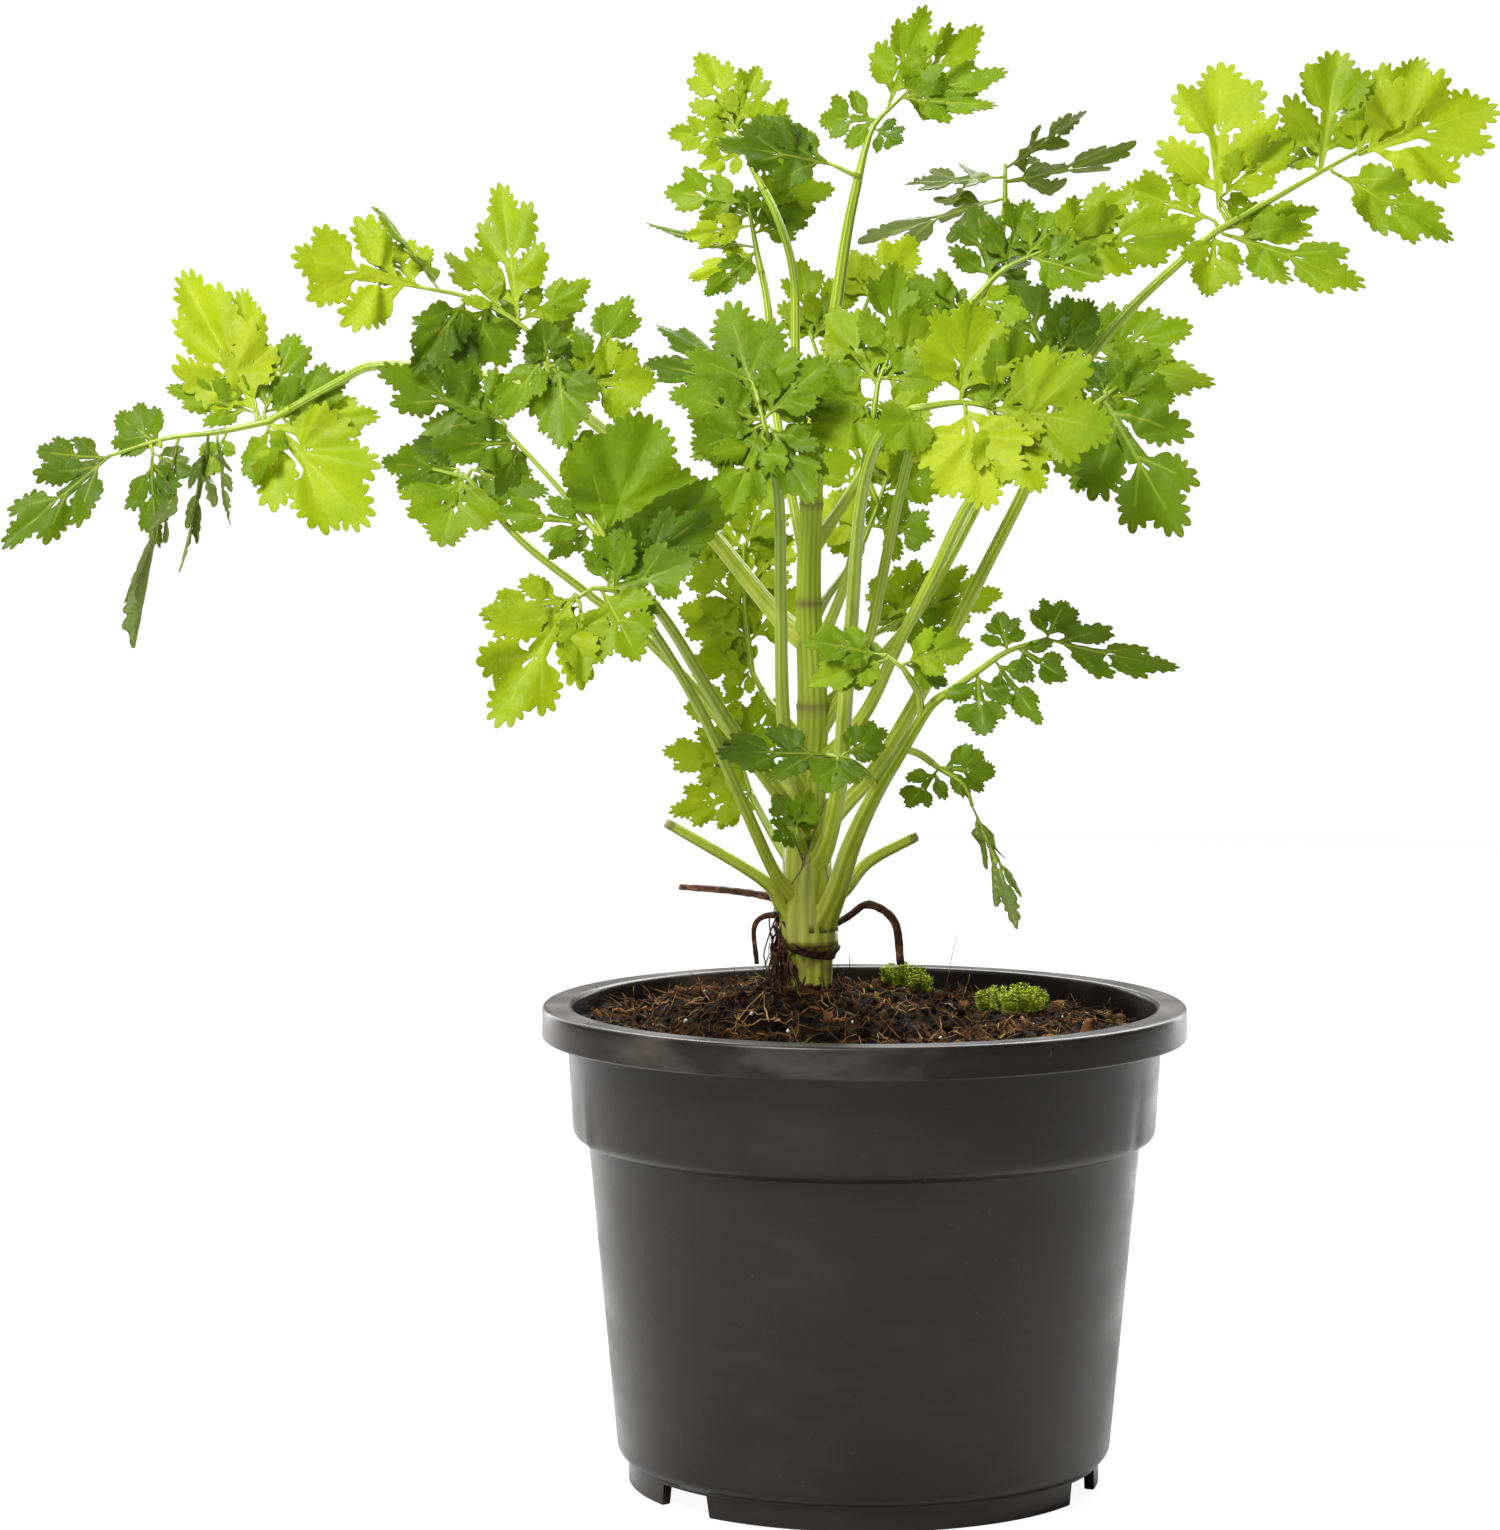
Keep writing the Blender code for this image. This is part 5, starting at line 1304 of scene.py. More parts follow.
    def scatter(self) -> None:
        """Builds and shows what lies on the soil."""
        crumbs, bark, grit, straw = MeshBuffer(), MeshBuffer(), MeshBuffer(), MeshBuffer()
        rng = self.rng
        for _ in range(self.crumbs):
            x, y = self.spot()
            size = rng.uniform(0.2, 0.85) * MM * (2.4 if rng.random() < 0.06 else 1)
            self.lump(crumbs, Vector((x, y, self.height(x, y) + size * 0.25)),
                      Vector((size, size * rng.uniform(0.6, 1), size * rng.uniform(0.5, 0.9))))
        for _ in range(self.chips):
            x, y = self.spot(0.94)
            size = rng.uniform(0.9, 2.6) * MM
            self.lump(bark, Vector((x, y, self.height(x, y) + 0.5 * MM)),
                      Vector((size, size * rng.uniform(0.25, 0.6), size * rng.uniform(0.15, 0.3))))
        for _ in range(self.grits):
            x, y = self.spot(0.94)
            size = rng.uniform(0.3, 0.62) * MM
            self.lump(grit, Vector((x, y, self.height(x, y) + size * 0.5)), Vector((size, size, size)))
        for _ in range(self.fibres):
            self.fibre(straw)
        for x, y, rise, lean in self.hairs:
            place = AXIS + Vector((x, y, 0)) * MM
            foot = Vector((place.x, place.y, self.height(place.x, place.y) - 0.3 * MM))
            tip = Vector((lean, 0.1 * lean, rise)) * MM
            bow = Vector((0.12 * lean * MM, 0, 0))
            path = smooth_path([foot, foot + tip * 0.35 + bow, foot + tip * 0.75, foot + tip], 1.5 * MM)
            straw.add(*tube(path, tapered(0.13 * MM, 0.05 * MM, len(path)), 5)[:2])
        self.dry_leaf(bark)
        for buffer, name, finish in ((crumbs, "peat_crumbs", PEAT_CRUMB), (bark, "bark_chips", BARK),
                                     (grit, "white_grit", GRIT), (straw, "peat_fibres", FIBRE)):
            show(buffer.build(name, [finish.material()]), "potting_soil")

    def fibre(self, buffer: MeshBuffer) -> None:
        """Adds a bent fibre that lies on the soil, with a free end now and then.

        Args:
            buffer: the mesh it joins.
        """
        rng = self.rng
        x, y = self.spot(0.92)
        length = rng.uniform(3, 13) * MM
        heading = rng.uniform(0, 2 * math.pi)
        rise = rng.uniform(0.0, 0.35) * (1.8 if rng.random() < 0.1 else 1)
        path = []
        edge = self.pot.inside_radius(self.edge_height) - 1.2 * MM
        for i in range(6):
            height = self.height(x, y) + 0.35 * MM + rise * length * (i / 5) ** 2
            path.append(Vector((x, y, height)))
            heading += rng.uniform(-0.55, 0.55)
            step = length / 5
            x, y = x + step * math.cos(heading), y + step * math.sin(heading)
            reach = math.hypot(x - AXIS.x, y)
            if reach > edge:
                x, y = AXIS.x + (x - AXIS.x) * edge / reach, y * edge / reach
        if any((b - a).length < 0.05 * MM for a, b in zip(path, path[1:])):
            return
        radius = rng.uniform(0.06, 0.20) * MM * (1.8 if rng.random() < 0.12 else 1)
        buffer.add(*tube(path, tapered(radius, radius * 0.5, len(path)), 4)[:2])

    def dry_leaf(self, buffer: MeshBuffer) -> None:
        """Adds the curled dry leaf chip that stands at the right, by the rim.

        Args:
            buffer: the mesh it joins.
        """
        base = Vector((AXIS.x + 50 * MM, -34 * MM, self.height(AXIS.x + 50 * MM, -34 * MM) + 0.4 * MM))
        upper, lower = [], []
        for i in range(7):
            along = i / 6
            for j in range(5):
                across = j / 4 - 0.5
                wide = (2.1 + 1.3 * math.sin(math.pi * min(1, along * 1.1))) * MM
                bend = 2.2 * MM * math.sin(2.4 * along) + 1.4 * MM * (across * 2) ** 2
                place = base + Vector((wide * across + 1.2 * MM * along, bend, 6.4 * MM * along))
                ripple = 0.35 * MM * math.sin(9 * along + 5 * across)
                upper.append(place + Vector((0, ripple, 0)))
                lower.append(place + Vector((0, ripple + 0.3 * MM, 0)))
        buffer.add(*slab(upper, lower, [(i * 5 + j, i * 5 + j + 1, i * 5 + j + 6, i * 5 + j + 5)
                                        for i in range(6) for j in range(4)]))

    def build(self) -> None:
        """Builds and shows the soil and what lies on it."""
        show(self.surface(), "potting_soil", "potting_soil")
        self.scatter()


def slab(upper: list, lower: list, faces: list) -> tuple[list, list]:
    """A thin closed solid from a sheet's two sides.

    Args:
        upper: the upper side's points.
        lower: the lower side's points, in the same order.
        faces: the upper side's faces.

    Returns:
        The points and faces of the solid.
    """
    count = len(upper)
    seen = {}
    for face in faces:
        for a, b in zip(face, (*face[1:], face[0])):
            seen[(a, b)] = seen.get((a, b), 0) + 1
    rim = [(a, b) for a, b in seen if (b, a) not in seen]
    closed = [*faces, *[tuple(count + i for i in reversed(face)) for face in faces]]
    closed += [(b, a, count + a, count + b) for a, b in rim]
    return [*upper, *lower], closed


@dataclass
class Moss:
    """A cushion of moss: many short shoots, each a tuft of small pointed leaves."""

    node: str
    shoots: int
    height: float
    share: float  # of its solid's width
    rng: random.Random = field(default_factory=lambda: random.Random(5))

    def build(self, soil: Soil) -> None:
        """Builds and shows the cushion where its solid lies.

        Args:
            soil: the soil it grows on.
        """
        low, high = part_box(self.node)
        centre, half = (low + high) / 2, (high - low) / 2
        buffer = MeshBuffer(values=("tone",))
        for _ in range(self.shoots):
            radius, angle = math.sqrt(self.rng.random()), self.rng.uniform(0, 2 * math.pi)
            x = centre.x + half.x * self.share * radius * math.cos(angle)
            y = centre.y + half.y * self.share * radius * math.sin(angle)
            foot = soil.height(x, y) - 0.5 * MM
            top = foot + 1.2 * MM + self.height * math.sqrt(max(0.0, 1 - (radius * 0.86) ** 2))
            lean = Vector((math.cos(angle), math.sin(angle), 0)) * radius * 0.35
            self.shoot(buffer, Vector((x, y, foot)), Vector((0, 0, top - foot)) + lean * (top - foot))
        finish = CrumbFinish(self.node + "_green", MOSS_SHADES, 520, 2200)
        show(buffer.build(self.node + "_tufts", [finish.material()]), "moss", self.node)

    def shoot(self, buffer: MeshBuffer, foot: Vector, rise: Vector) -> None:
        """Adds one shoot with leaves in whorls up its length.

        Args:
            buffer: the mesh it joins.
            foot: where it starts.
            rise: the way and the distance to its top.
        """
        rng = self.rng
        for level in range(5):
            centre = foot + rise * (0.35 + 0.65 * level / 4)
            size = (1.75 - 0.2 * level) * MM * rng.uniform(0.8, 1.15)
            for k in range(5):
                angle = 2 * math.pi * (k / 5 + 0.37 * level) + rng.uniform(-0.2, 0.2)
                out = Vector((math.cos(angle), math.sin(angle), rng.uniform(0.35, 0.8)))
                side = Vector((-math.sin(angle), math.cos(angle), 0)) * size * 0.26
                tip = centre + out * size
                lift = Vector((0, 0, 0.12 * MM))
                middle = centre + out * size * 0.45
                points = [centre - lift, middle + side, tip, middle - side, middle + lift]
                faces = [(0, 1, 4), (1, 2, 4), (2, 3, 4), (3, 0, 4), (0, 3, 2, 1)]
                buffer.add(points, faces, tone=rng.random())


@dataclass(frozen=True)
class Sheath:
    """A leaf base that clasps the crown: the way it faces, its heights and its reach."""

    turn: float  # degrees
    low: float  # millimetres
    high: float
    reach: float  # in shares of the crown's radius


SHEATHS = (
    Sheath(-75, 125.5, 147, 1.12), Sheath(40, 126, 140, 1.08), Sheath(160, 125, 149, 1.10),
    Sheath(-150, 127, 154, 1.08), Sheath(-30, 129, 160, 1.13),
)
CROWN_HEIGHTS = (118, 128, 138, 150, 165)  # in millimetres, with the crown's radius at each
CROWN_RADII = (5.7, 5.9, 4.9, 4.5, 3.9)


@dataclass
class Stem:
    """The main stem: ribbed, ringed at its nodes, with a swollen crown in papery sheaths."""

    sides: int = 52
    ribs: int = 13
    rings: tuple[float, ...] = (150, 181, 205, 228)  # heights of its nodes, in millimetres
    crown_x: float = -12.8 * MM

    def ring(self, height: float) -> float:
        """How much of a node ring there is at this height, 0 to 1."""
        return max(math.exp(-((height / MM - ring) / 1.1) ** 2) for ring in self.rings)

    def stain(self, place: Vector) -> float:
        """How brown the stem's foot is here, 0 to 1."""
        patch = 0.25 + 0.9 * noise.fractal(place * 260, 0.8, 2.2, 4)
        return min(max(patch, 0.0), 1) * min(max((127 - place.z / MM) / 4, 0), 1)

    def build(self, finish: bpy.types.Material) -> None:
        """Builds and shows the stem and the crown's sheaths.

        Args:
            finish: the stem's material.
        """
        points = [spread(x, y, z) for x, y, z, _ in STEM]
        path = smooth_path(points, 1.6 * MM)
        heights = [p.z for p in points]
        radii = [float(np.interp(p.z, heights, [r * MM for *_, r in STEM])) * (1 + 0.10 * self.ring(p.z))
                 * (1 - 0.13 * math.exp(-((p.z / MM - 119) / 6) ** 4)) for p in path]
        shape, faces, along, crest = tube(path, radii, self.sides, self.ribs, 0.06)
        rings = [max(0.75 * self.ring(p.z), self.stain(p)) for p in shape]
        buffer = MeshBuffer(values=("along", "crest", "ring"))
        buffer.add(shape, faces, along=along, crest=crest, ring=rings)
        show(buffer.build("ribbed_stem", [finish]), "stem_skin", "main_stem")
        self.sheaths(finish)

    def sheaths(self, finish: bpy.types.Material) -> None:
        """The leaf bases that clasp the crown, ribbed and split where the stalks leave.

        Args:
            finish: the stem's material.
        """
        buffer = MeshBuffer(values=("along", "crest", "ring"))
        across, steps = 33, 14
        for sheath in SHEATHS:
            upper, lower, shares, crests = [], [], [], []
            for i in range(steps + 1):
                share = i / steps
                height = (sheath.low + (sheath.high - sheath.low) * share) * MM
                middle = Vector((AXIS.x + self.crown_x - 0.6 * MM * math.sin(share * 3), 0, height))
                radius = float(np.interp(height / MM, CROWN_HEIGHTS, CROWN_RADII)) * MM
                half = math.radians(88) * (1 - share ** 2.2) + 0.05
                for j in range(across):
                    off = (j / (across - 1) - 0.5) * 2
                    angle = math.radians(sheath.turn) + off * half
                    rib = 0.5 + 0.5 * math.cos(off * half * 14)
                    out = radius * (sheath.reach + 0.05 * rib + 0.12 * share)
                    away = Vector((math.cos(angle), math.sin(angle), 0))
                    upper.append(middle + away * out)
                    lower.append(middle + away * (out - 0.45 * MM))
                    shares.append(share * 0.3)
                    crests.append(rib)
            quads = [(i * across + j, i * across + j + 1, (i + 1) * across + j + 1, (i + 1) * across + j)
                     for i in range(steps) for j in range(across - 1)]
            shape, faces = slab(upper, lower, quads)
            edge = [0.95 if k % across < 2 or k % across > across - 3 or k // across == 0 else 0.0
                    for k in range(len(upper))]
            buffer.add(shape, faces, along=shares * 2, crest=crests * 2, ring=edge * 2)
        show(buffer.build("crown_sheaths", [finish]), "stem_skin")


@dataclass(frozen=True)
class Pad:
    """One lobe laid out: where its vein starts, its heart, and how it spreads round that."""

    start: np.ndarray
    heart: np.ndarray
    heading: float
    ahead: float
    aside: float
    bays: int
    teeth: int
    bay_depth: float
    tooth_depth: float
    turn: float

    def reach(self, angle: np.ndarray) -> np.ndarray:
        """How far the edge lies from the heart at an angle from the lobe's heading.

        Args:
            angle: the angles, in radians.

        Returns:
            The distances.
        """
        slant = np.hypot(self.aside * np.cos(angle), self.ahead * np.sin(angle))
        round_edge = self.ahead * self.aside / slant
        front = np.clip((2.5 - np.abs(angle)) / 0.7, 0, 1)
        bays = 1 - np.abs(np.cos(0.5 * self.bays * angle + self.turn)) ** 0.8
        teeth = 1 - np.abs(np.cos(0.5 * self.teeth * (angle - 0.07 * np.sin(angle)))) ** 0.62
        return round_edge * (1 - front * (self.bay_depth * bays + self.tooth_depth * teeth))


@dataclass
class Leaflet:
    """One leaflet: a lobed, toothed sheet with raised veins, bent and rippled."""

    shape: Shape
    length: float
    width: float
    tone: float
    rng: random.Random
    thickness: float = 0.26 * MM
    pitch: float = 0.42 * MM  # of the grid that its sheet is cut from
    waves: Point2 = (0.052, 0.016)  # heights of its edge's waves, in shares of its length
    bumps: float = 0.20 * MM
    vein_depth: float = 0.12 * MM
    vein_ridge: float = 0.10 * MM

    def pads(self) -> list[Pad]:
        """The lobes in shares of the length, each a little different from its plan.

        Returns:
            The lobes, laid out.
        """
        rng, pads = self.rng, []
        for lobe in LOBES[self.shape]:
            angle = math.radians(lobe.angle + rng.uniform(-6, 6))
            length, width = lobe.length * rng.uniform(0.9, 1.06), lobe.width * rng.uniform(0.9, 1.1)
            start = np.array((lobe.start + rng.uniform(-0.02, 0.02), 0.0))
            heart = start + np.array((math.cos(angle), math.sin(angle))) * length * 0.62
            smooth = self.shape is Shape.BROAD
            pads.append(Pad(
                start, heart, angle, 0.38 * length, 0.5 * width, lobe.bays, lobe.teeth,
                rng.uniform(0.05, 0.1) if smooth else rng.uniform(0.12, 0.24),
                0.2 if smooth else rng.uniform(0.36, 0.46), rng.uniform(-0.3, 0.3)))
        return pads

    def outline(self, x: np.ndarray, y: np.ndarray, pads: list[Pad]) -> tuple[np.ndarray, np.ndarray]:
        """How deep each place lies inside the outline, and how near it is to a vein.

        Args:
            x: places along the length, in shares of it.
            y: places across.
            pads: the lobes.

        Returns:
            The depth, above 0 inside, and the vein value, 0 to 1.
        """
        depth, vein = self.bar(x, y, np.zeros(2), np.array((0.45, 0.0)), 0.016, 0.07, 0.015)
        for pad in pads:
            off_x, off_y = x - pad.heart[0], y - pad.heart[1]
            away = np.hypot(off_x, off_y)
            angle = np.angle(np.exp(1j * (np.arctan2(off_y, off_x) - pad.heading)))
            neck, line = self.bar(x, y, pad.start, pad.heart, 0.05 * pad.ahead, 0.80 * pad.aside, 0.011)
            inside = np.maximum(pad.reach(angle) - away, neck)
            vein = np.where(inside > depth, 0, vein)
            vein = np.maximum(vein, 0.9 * line)
            crest = 2 * math.pi / pad.teeth
            ray = away * np.abs(np.sin((angle + 0.5 * crest) % crest - 0.5 * crest))
            fade = np.clip((2.0 - np.abs(angle)) / 0.4, 0, 1) * np.clip(away / pad.aside, 0, 1)
            every_other = np.where(np.round(angle / crest).astype(int) % 2 == 0, 0.62, 0.4)
            ray_vein = every_other * fade * np.exp(-(ray / 0.008) ** 2)
            vein = np.where(inside > depth, np.maximum(vein, ray_vein), vein)
            depth = np.maximum(depth, inside)
        return depth, vein

    @staticmethod
    def bar(x: np.ndarray, y: np.ndarray, start: np.ndarray, end: np.ndarray,
            first: float, last: float, line: float) -> tuple[np.ndarray, np.ndarray]:
        """A tapered bar of tissue round a vein.

        Args:
            x: places along the length.
            y: places across.
            start: where the vein starts.
            end: where it ends.
            first: half the bar's width at its start.
            last: half its width at its end.
            line: how wide the vein is.

        Returns:
            The depth inside the bar, and the vein value.
        """
        step = end - start
        ahead = ((x - start[0]) * step[0] + (y - start[1]) * step[1]) / (step @ step)
        share = np.clip(ahead, 0, 1)
        away = np.hypot(x - start[0] - share * step[0], y - start[1] - share * step[1])
        depth = np.where(ahead > 1, -1, first + (last - first) * share ** 1.3 - away)
        return depth, np.exp(-(away / (line * (1 - 0.4 * share))) ** 2)

    def sheet(self) -> tuple[list, list, list]:
        """The flat leaflet.

        Returns:
            Its points as shares of length and width, its faces, and each point's vein value.
        """
        pads = self.pads()
        across, along = np.meshgrid(np.linspace(-0.8, 0.8, 161), np.linspace(-0.15, 1.1, 126))
        depth, _ = self.outline(along, across, pads)
        inside = depth > 0
        far, wide = along[inside].max(), np.abs(across[inside]).max()
        pitch = min(self.pitch, self.length / 30)
        rows, columns = math.ceil(self.length * 1.02 / pitch) + 2, math.ceil(self.width / pitch) + 3
        us = (np.arange(rows) - 1) * pitch / self.length * far
        vs = (np.arange(columns) - (columns - 1) / 2) * pitch / (self.width / 2) * wide
        v_grid, u_grid = np.meshgrid(vs, us)
        depth, vein = self.outline(u_grid, v_grid, pads)
        depth[0, :] = depth[-1, :] = depth[:, 0] = depth[:, -1] = -1e-3
        points, lines, values, index = [], [], [], {}

        def corner(i: int, j: int) -> int:
            """The point at a grid corner.

            Args:
                i: the corner's row.
                j: its column.

            Returns:
                The point's index.
            """
            key = (i, j)
            if key not in index:
                index[key] = len(points)
                points.append((u_grid[i, j] / far, v_grid[i, j] / (2 * wide)))
                values.append(float(vein[i, j]))
            return index[key]

        def crossing(a: tuple[int, int], b: tuple[int, int]) -> int:
            """The point where the outline crosses a grid line.

            Args:
                a: the corner at one end, as row and column.
                b: the corner at the other end.

            Returns:
                The point's index.
            """
            key = (min(a, b), max(a, b))
            if key not in index:
                (i, j), (k, m) = key
                share = float(np.clip(depth[i, j] / (depth[i, j] - depth[k, m]), 0.04, 0.96))
                index[key] = len(points)
                points.append(((u_grid[i, j] + (u_grid[k, m] - u_grid[i, j]) * share) / far,
                               (v_grid[i, j] + (v_grid[k, m] - v_grid[i, j]) * share) / (2 * wide)))
                values.append(float(vein[i, j] * (1 - share) + vein[k, m] * share) * 0.6)
            return index[key]

        solid = depth > 0
        for i in range(rows - 1):
            for j in range(columns - 1):
                ring = ((i, j), (i + 1, j), (i + 1, j + 1), (i, j + 1))
                full = [bool(solid[c]) for c in ring]
                if not any(full):
                    continue
                face = []
                for k in range(4):
                    if full[k]:
                        face.append(corner(*ring[k]))
                    if full[k] != full[(k + 1) % 4]:
                        face.append(crossing(ring[k], ring[(k + 1) % 4]))
                lines.append(tuple(face))
        return points, lines, values

    def build(self, buffer: MeshBuffer, place: Matrix) -> None:
        """Adds the leaflet to its leaf.

        Args:
            buffer: the leaf's mesh.
            place: the leaflet's matrix.
        """
        rng = self.rng
        points, faces, veins = self.sheet()
        droop = rng.uniform(-0.16, 0.08) * self.length
        fold = rng.uniform(0.06, 0.30)
        beats = [(rng.uniform(3, 5), rng.uniform(0, 6.3)), (rng.uniform(7, 10), rng.uniform(0, 6.3))]
        twist = rng.uniform(-0.35, 0.35)
        seed = rng.uniform(0, 99)
        upper, lower = [], []
        for (u, v), vein in zip(points, veins):
            x, y = u * self.length, v * self.width
            out = min(1.0, abs(v) * 2)
            angle = math.atan2(v, u - 0.3)
            ripple = sum(math.sin(n * angle + start) / (1 + k) for k, (n, start) in enumerate(beats))
            z = droop * u * u + fold * abs(y) - 0.35 * fold * y * y / (0.5 * self.width)
            z += twist * u * y + self.waves[0] * self.length * ripple * max(out, u - 0.3)
            z += self.waves[1] * self.length * math.sin(7 * u + 2) * out
            z += self.bumps * noise.noise(Vector((x * 330, y * 330, seed)))
            z -= self.vein_depth * vein
            upper.append(place @ Vector((x, y, z + self.thickness / 2)))
            lower.append(place @ Vector((x, y, z - self.thickness / 2 - self.vein_ridge * vein)))
        shape, closed = slab(upper, lower, faces)
        count = len(points)
        tone = self.tone + rng.uniform(-0.04, 0.04)
        buffer.add(shape, closed, 0, tone=tone, vein=veins * 2, under=[0.0] * count + [1.0] * count)


@dataclass
class Leaf:
    """One leaf: its ribbed stalk, and its blade of ribs and leaflets."""

    plan: LeafPlan
    look: LeafLook
    tissue: bpy.types.Material
    skin: bpy.types.Material
    rib_radius: float = 0.75 * MM
    vein_radius: float = 0.42 * MM
    sheath: float = 0.495  # how much wider a stalk is where it clasps the stem, as a share of its radius
    clasp_length: float = 9 * MM
    longer: float = 1.06  # a leaflet's size, in shares of its solid's
    wider: float = 1.22
    least: float = 9 * MM  # the length from which a leaflet has companions

    def build(self) -> None:
        """Builds and shows the stalk and the blade."""
        path = smooth_path([spread(*point) for point in self.plan.stalk], 1.8 * MM)
        joint = smooth_path([spread(*point) for point in self.plan.stalk], 9 * MM)
        neck = NECK_LENGTH * (1 if len(joint) > 4 else 0.4)
        stalk, top = split_path(path, neck)
        self.stalk(stalk)
        self.blade(top)

    def stalk(self, path: list[Vector]) -> None:
        """The stalk, ribbed, and widened into a sheath at its foot.

        Args:
            path: the points of its middle line.
        """
        first, last = (radius * MM for radius in self.plan.radii)
        length = sum((b - a).length for a, b in zip(path, path[1:]))
        gone, radii = 0.0, []
        for i, point in enumerate(path):
            gone += (point - path[i - 1]).length if i else 0.0
            clasp = math.exp(-(gone / self.clasp_length) ** 2) if self.plan.parent == "main_stem" else 0.0
            radii.append((first + (last - first) * gone / length) * (1 + self.sheath * clasp))
        shape, faces, along, crest = tube(path, radii, 28, 7, 0.09, 0.86)
        buffer = MeshBuffer(values=("along", "crest", "ring"))
        buffer.add(shape, faces, along=along, crest=crest)
        show(buffer.build(self.plan.name + "_petiole", [self.skin]), "stalk_skin", self.plan.name + "_stalk")

    def blade(self, neck: list[Vector]) -> None:
        """The ribs and the leaflets.

        Args:
            neck: the end of the stalk's middle line.
        """
        plan = self.plan
        buffer = MeshBuffer(values=("along", "crest", "ring", "tone", "vein", "under"))
        ribs = [[leaf_point(plan, x, z) for x, z in rib] for rib in plan.ribs]
        lines = [smooth_path(rib, 3 * MM) for rib in ribs]
        lines[0] = [*neck[:-1], *lines[0]]
        first = plan.radii[1] * MM
        for line in lines:
            self.vein(buffer, line, first, self.vein_radius)
            first = self.rib_radius
        for number, (leaflet, tone) in enumerate(zip(plan.leaflets, self.look.tones)):
            base = leaf_point(plan, leaflet[0], leaflet[1])
            start = nearest_point(lines, base)
            length, place = leaflet_frame(plan, number)
            if (base - start).length > 0.5 * MM:
                heading = place.to_3x3() @ Vector((1, 0, 0))
                path = smooth_path([start, start.lerp(base, 0.6), base, base + heading * 2 * MM], 1.5 * MM)
                self.vein(buffer, path, 0.55 * MM, 0.3 * MM)
            shape = Shape(self.look.shapes[number])
            rng = random.Random(f"{plan.name} {number}")
            width = leaflet[4] * MM * self.wider
            length, width = length * self.look.growth, width * self.look.growth
            Leaflet(shape, length * self.longer, width, tone, rng).build(buffer, place)
            beside = self.look.companions if length > self.least and shape is not Shape.SLIM else 0.0
            for _ in range(int(beside + rng.random())):
                self.companion(buffer, place, length, width, tone, shape, rng)
        foliage = buffer.build(plan.name + "_foliage", [self.tissue, self.skin])
        show(foliage, "leaf_green", plan.name + "_blade")

    def companion(self, buffer: MeshBuffer, place: Matrix, length: float, width: float,
                  tone: float, shape: Shape, rng: random.Random) -> None:
        """Adds a smaller leaflet that grows beside another, a little behind it, its tone lowered a little as
        painted shade.

        Args:
            buffer: the leaf's mesh.
            place: the larger leaflet's matrix.
            length: its length.
            width: its width.
            tone: its tone.
            shape: its form.
            rng: the chances of its pose.
        """
        size = rng.uniform(0.55, 0.75)
        turn = Matrix.Rotation(math.radians(rng.choice((-1, 1)) * rng.uniform(35, 75)), 4, "Z")
        tilt = Matrix.Rotation(math.radians(rng.uniform(8, 26)), 4, "Y")
        where = place @ Matrix.Translation((0.4 * MM, 0, -0.5 * MM)) @ turn @ tilt
        # The lowered tone is painted shade: it darkens the companion as if the larger leaflet in front shaded
        # it.
        Leaflet(shape, length * size, width * size, tone - rng.uniform(0.0, 0.18), rng).build(buffer, where)

    def vein(self, buffer: MeshBuffer, path: list[Vector], first: float, last: float) -> None:
        """Adds a rib that tapers along a path.

        Args:
            buffer: the leaf's mesh.
            path: its middle line.
            first: its radius at the start.
            last: its radius at the end.
        """
        shape, faces, along, crest = tube(path, tapered(first, last, len(path)), 10, 5, 0.05)
        buffer.add(shape, faces, 1, along=[0.5 + 0.5 * a for a in along], crest=crest)


@dataclass(frozen=True)
class Husk:
    """A band of torn papery skin round the crown, in millimetres and degrees."""

    low: float
    rise: float
    reach: float
    start: float
    turn: float


HUSKS = (Husk(124.0, 2.6, 6.9, 0, 360), Husk(118, 4.5, 6.1, 120, 120), Husk(115.2, 3.0, 6.0, 240, 100))


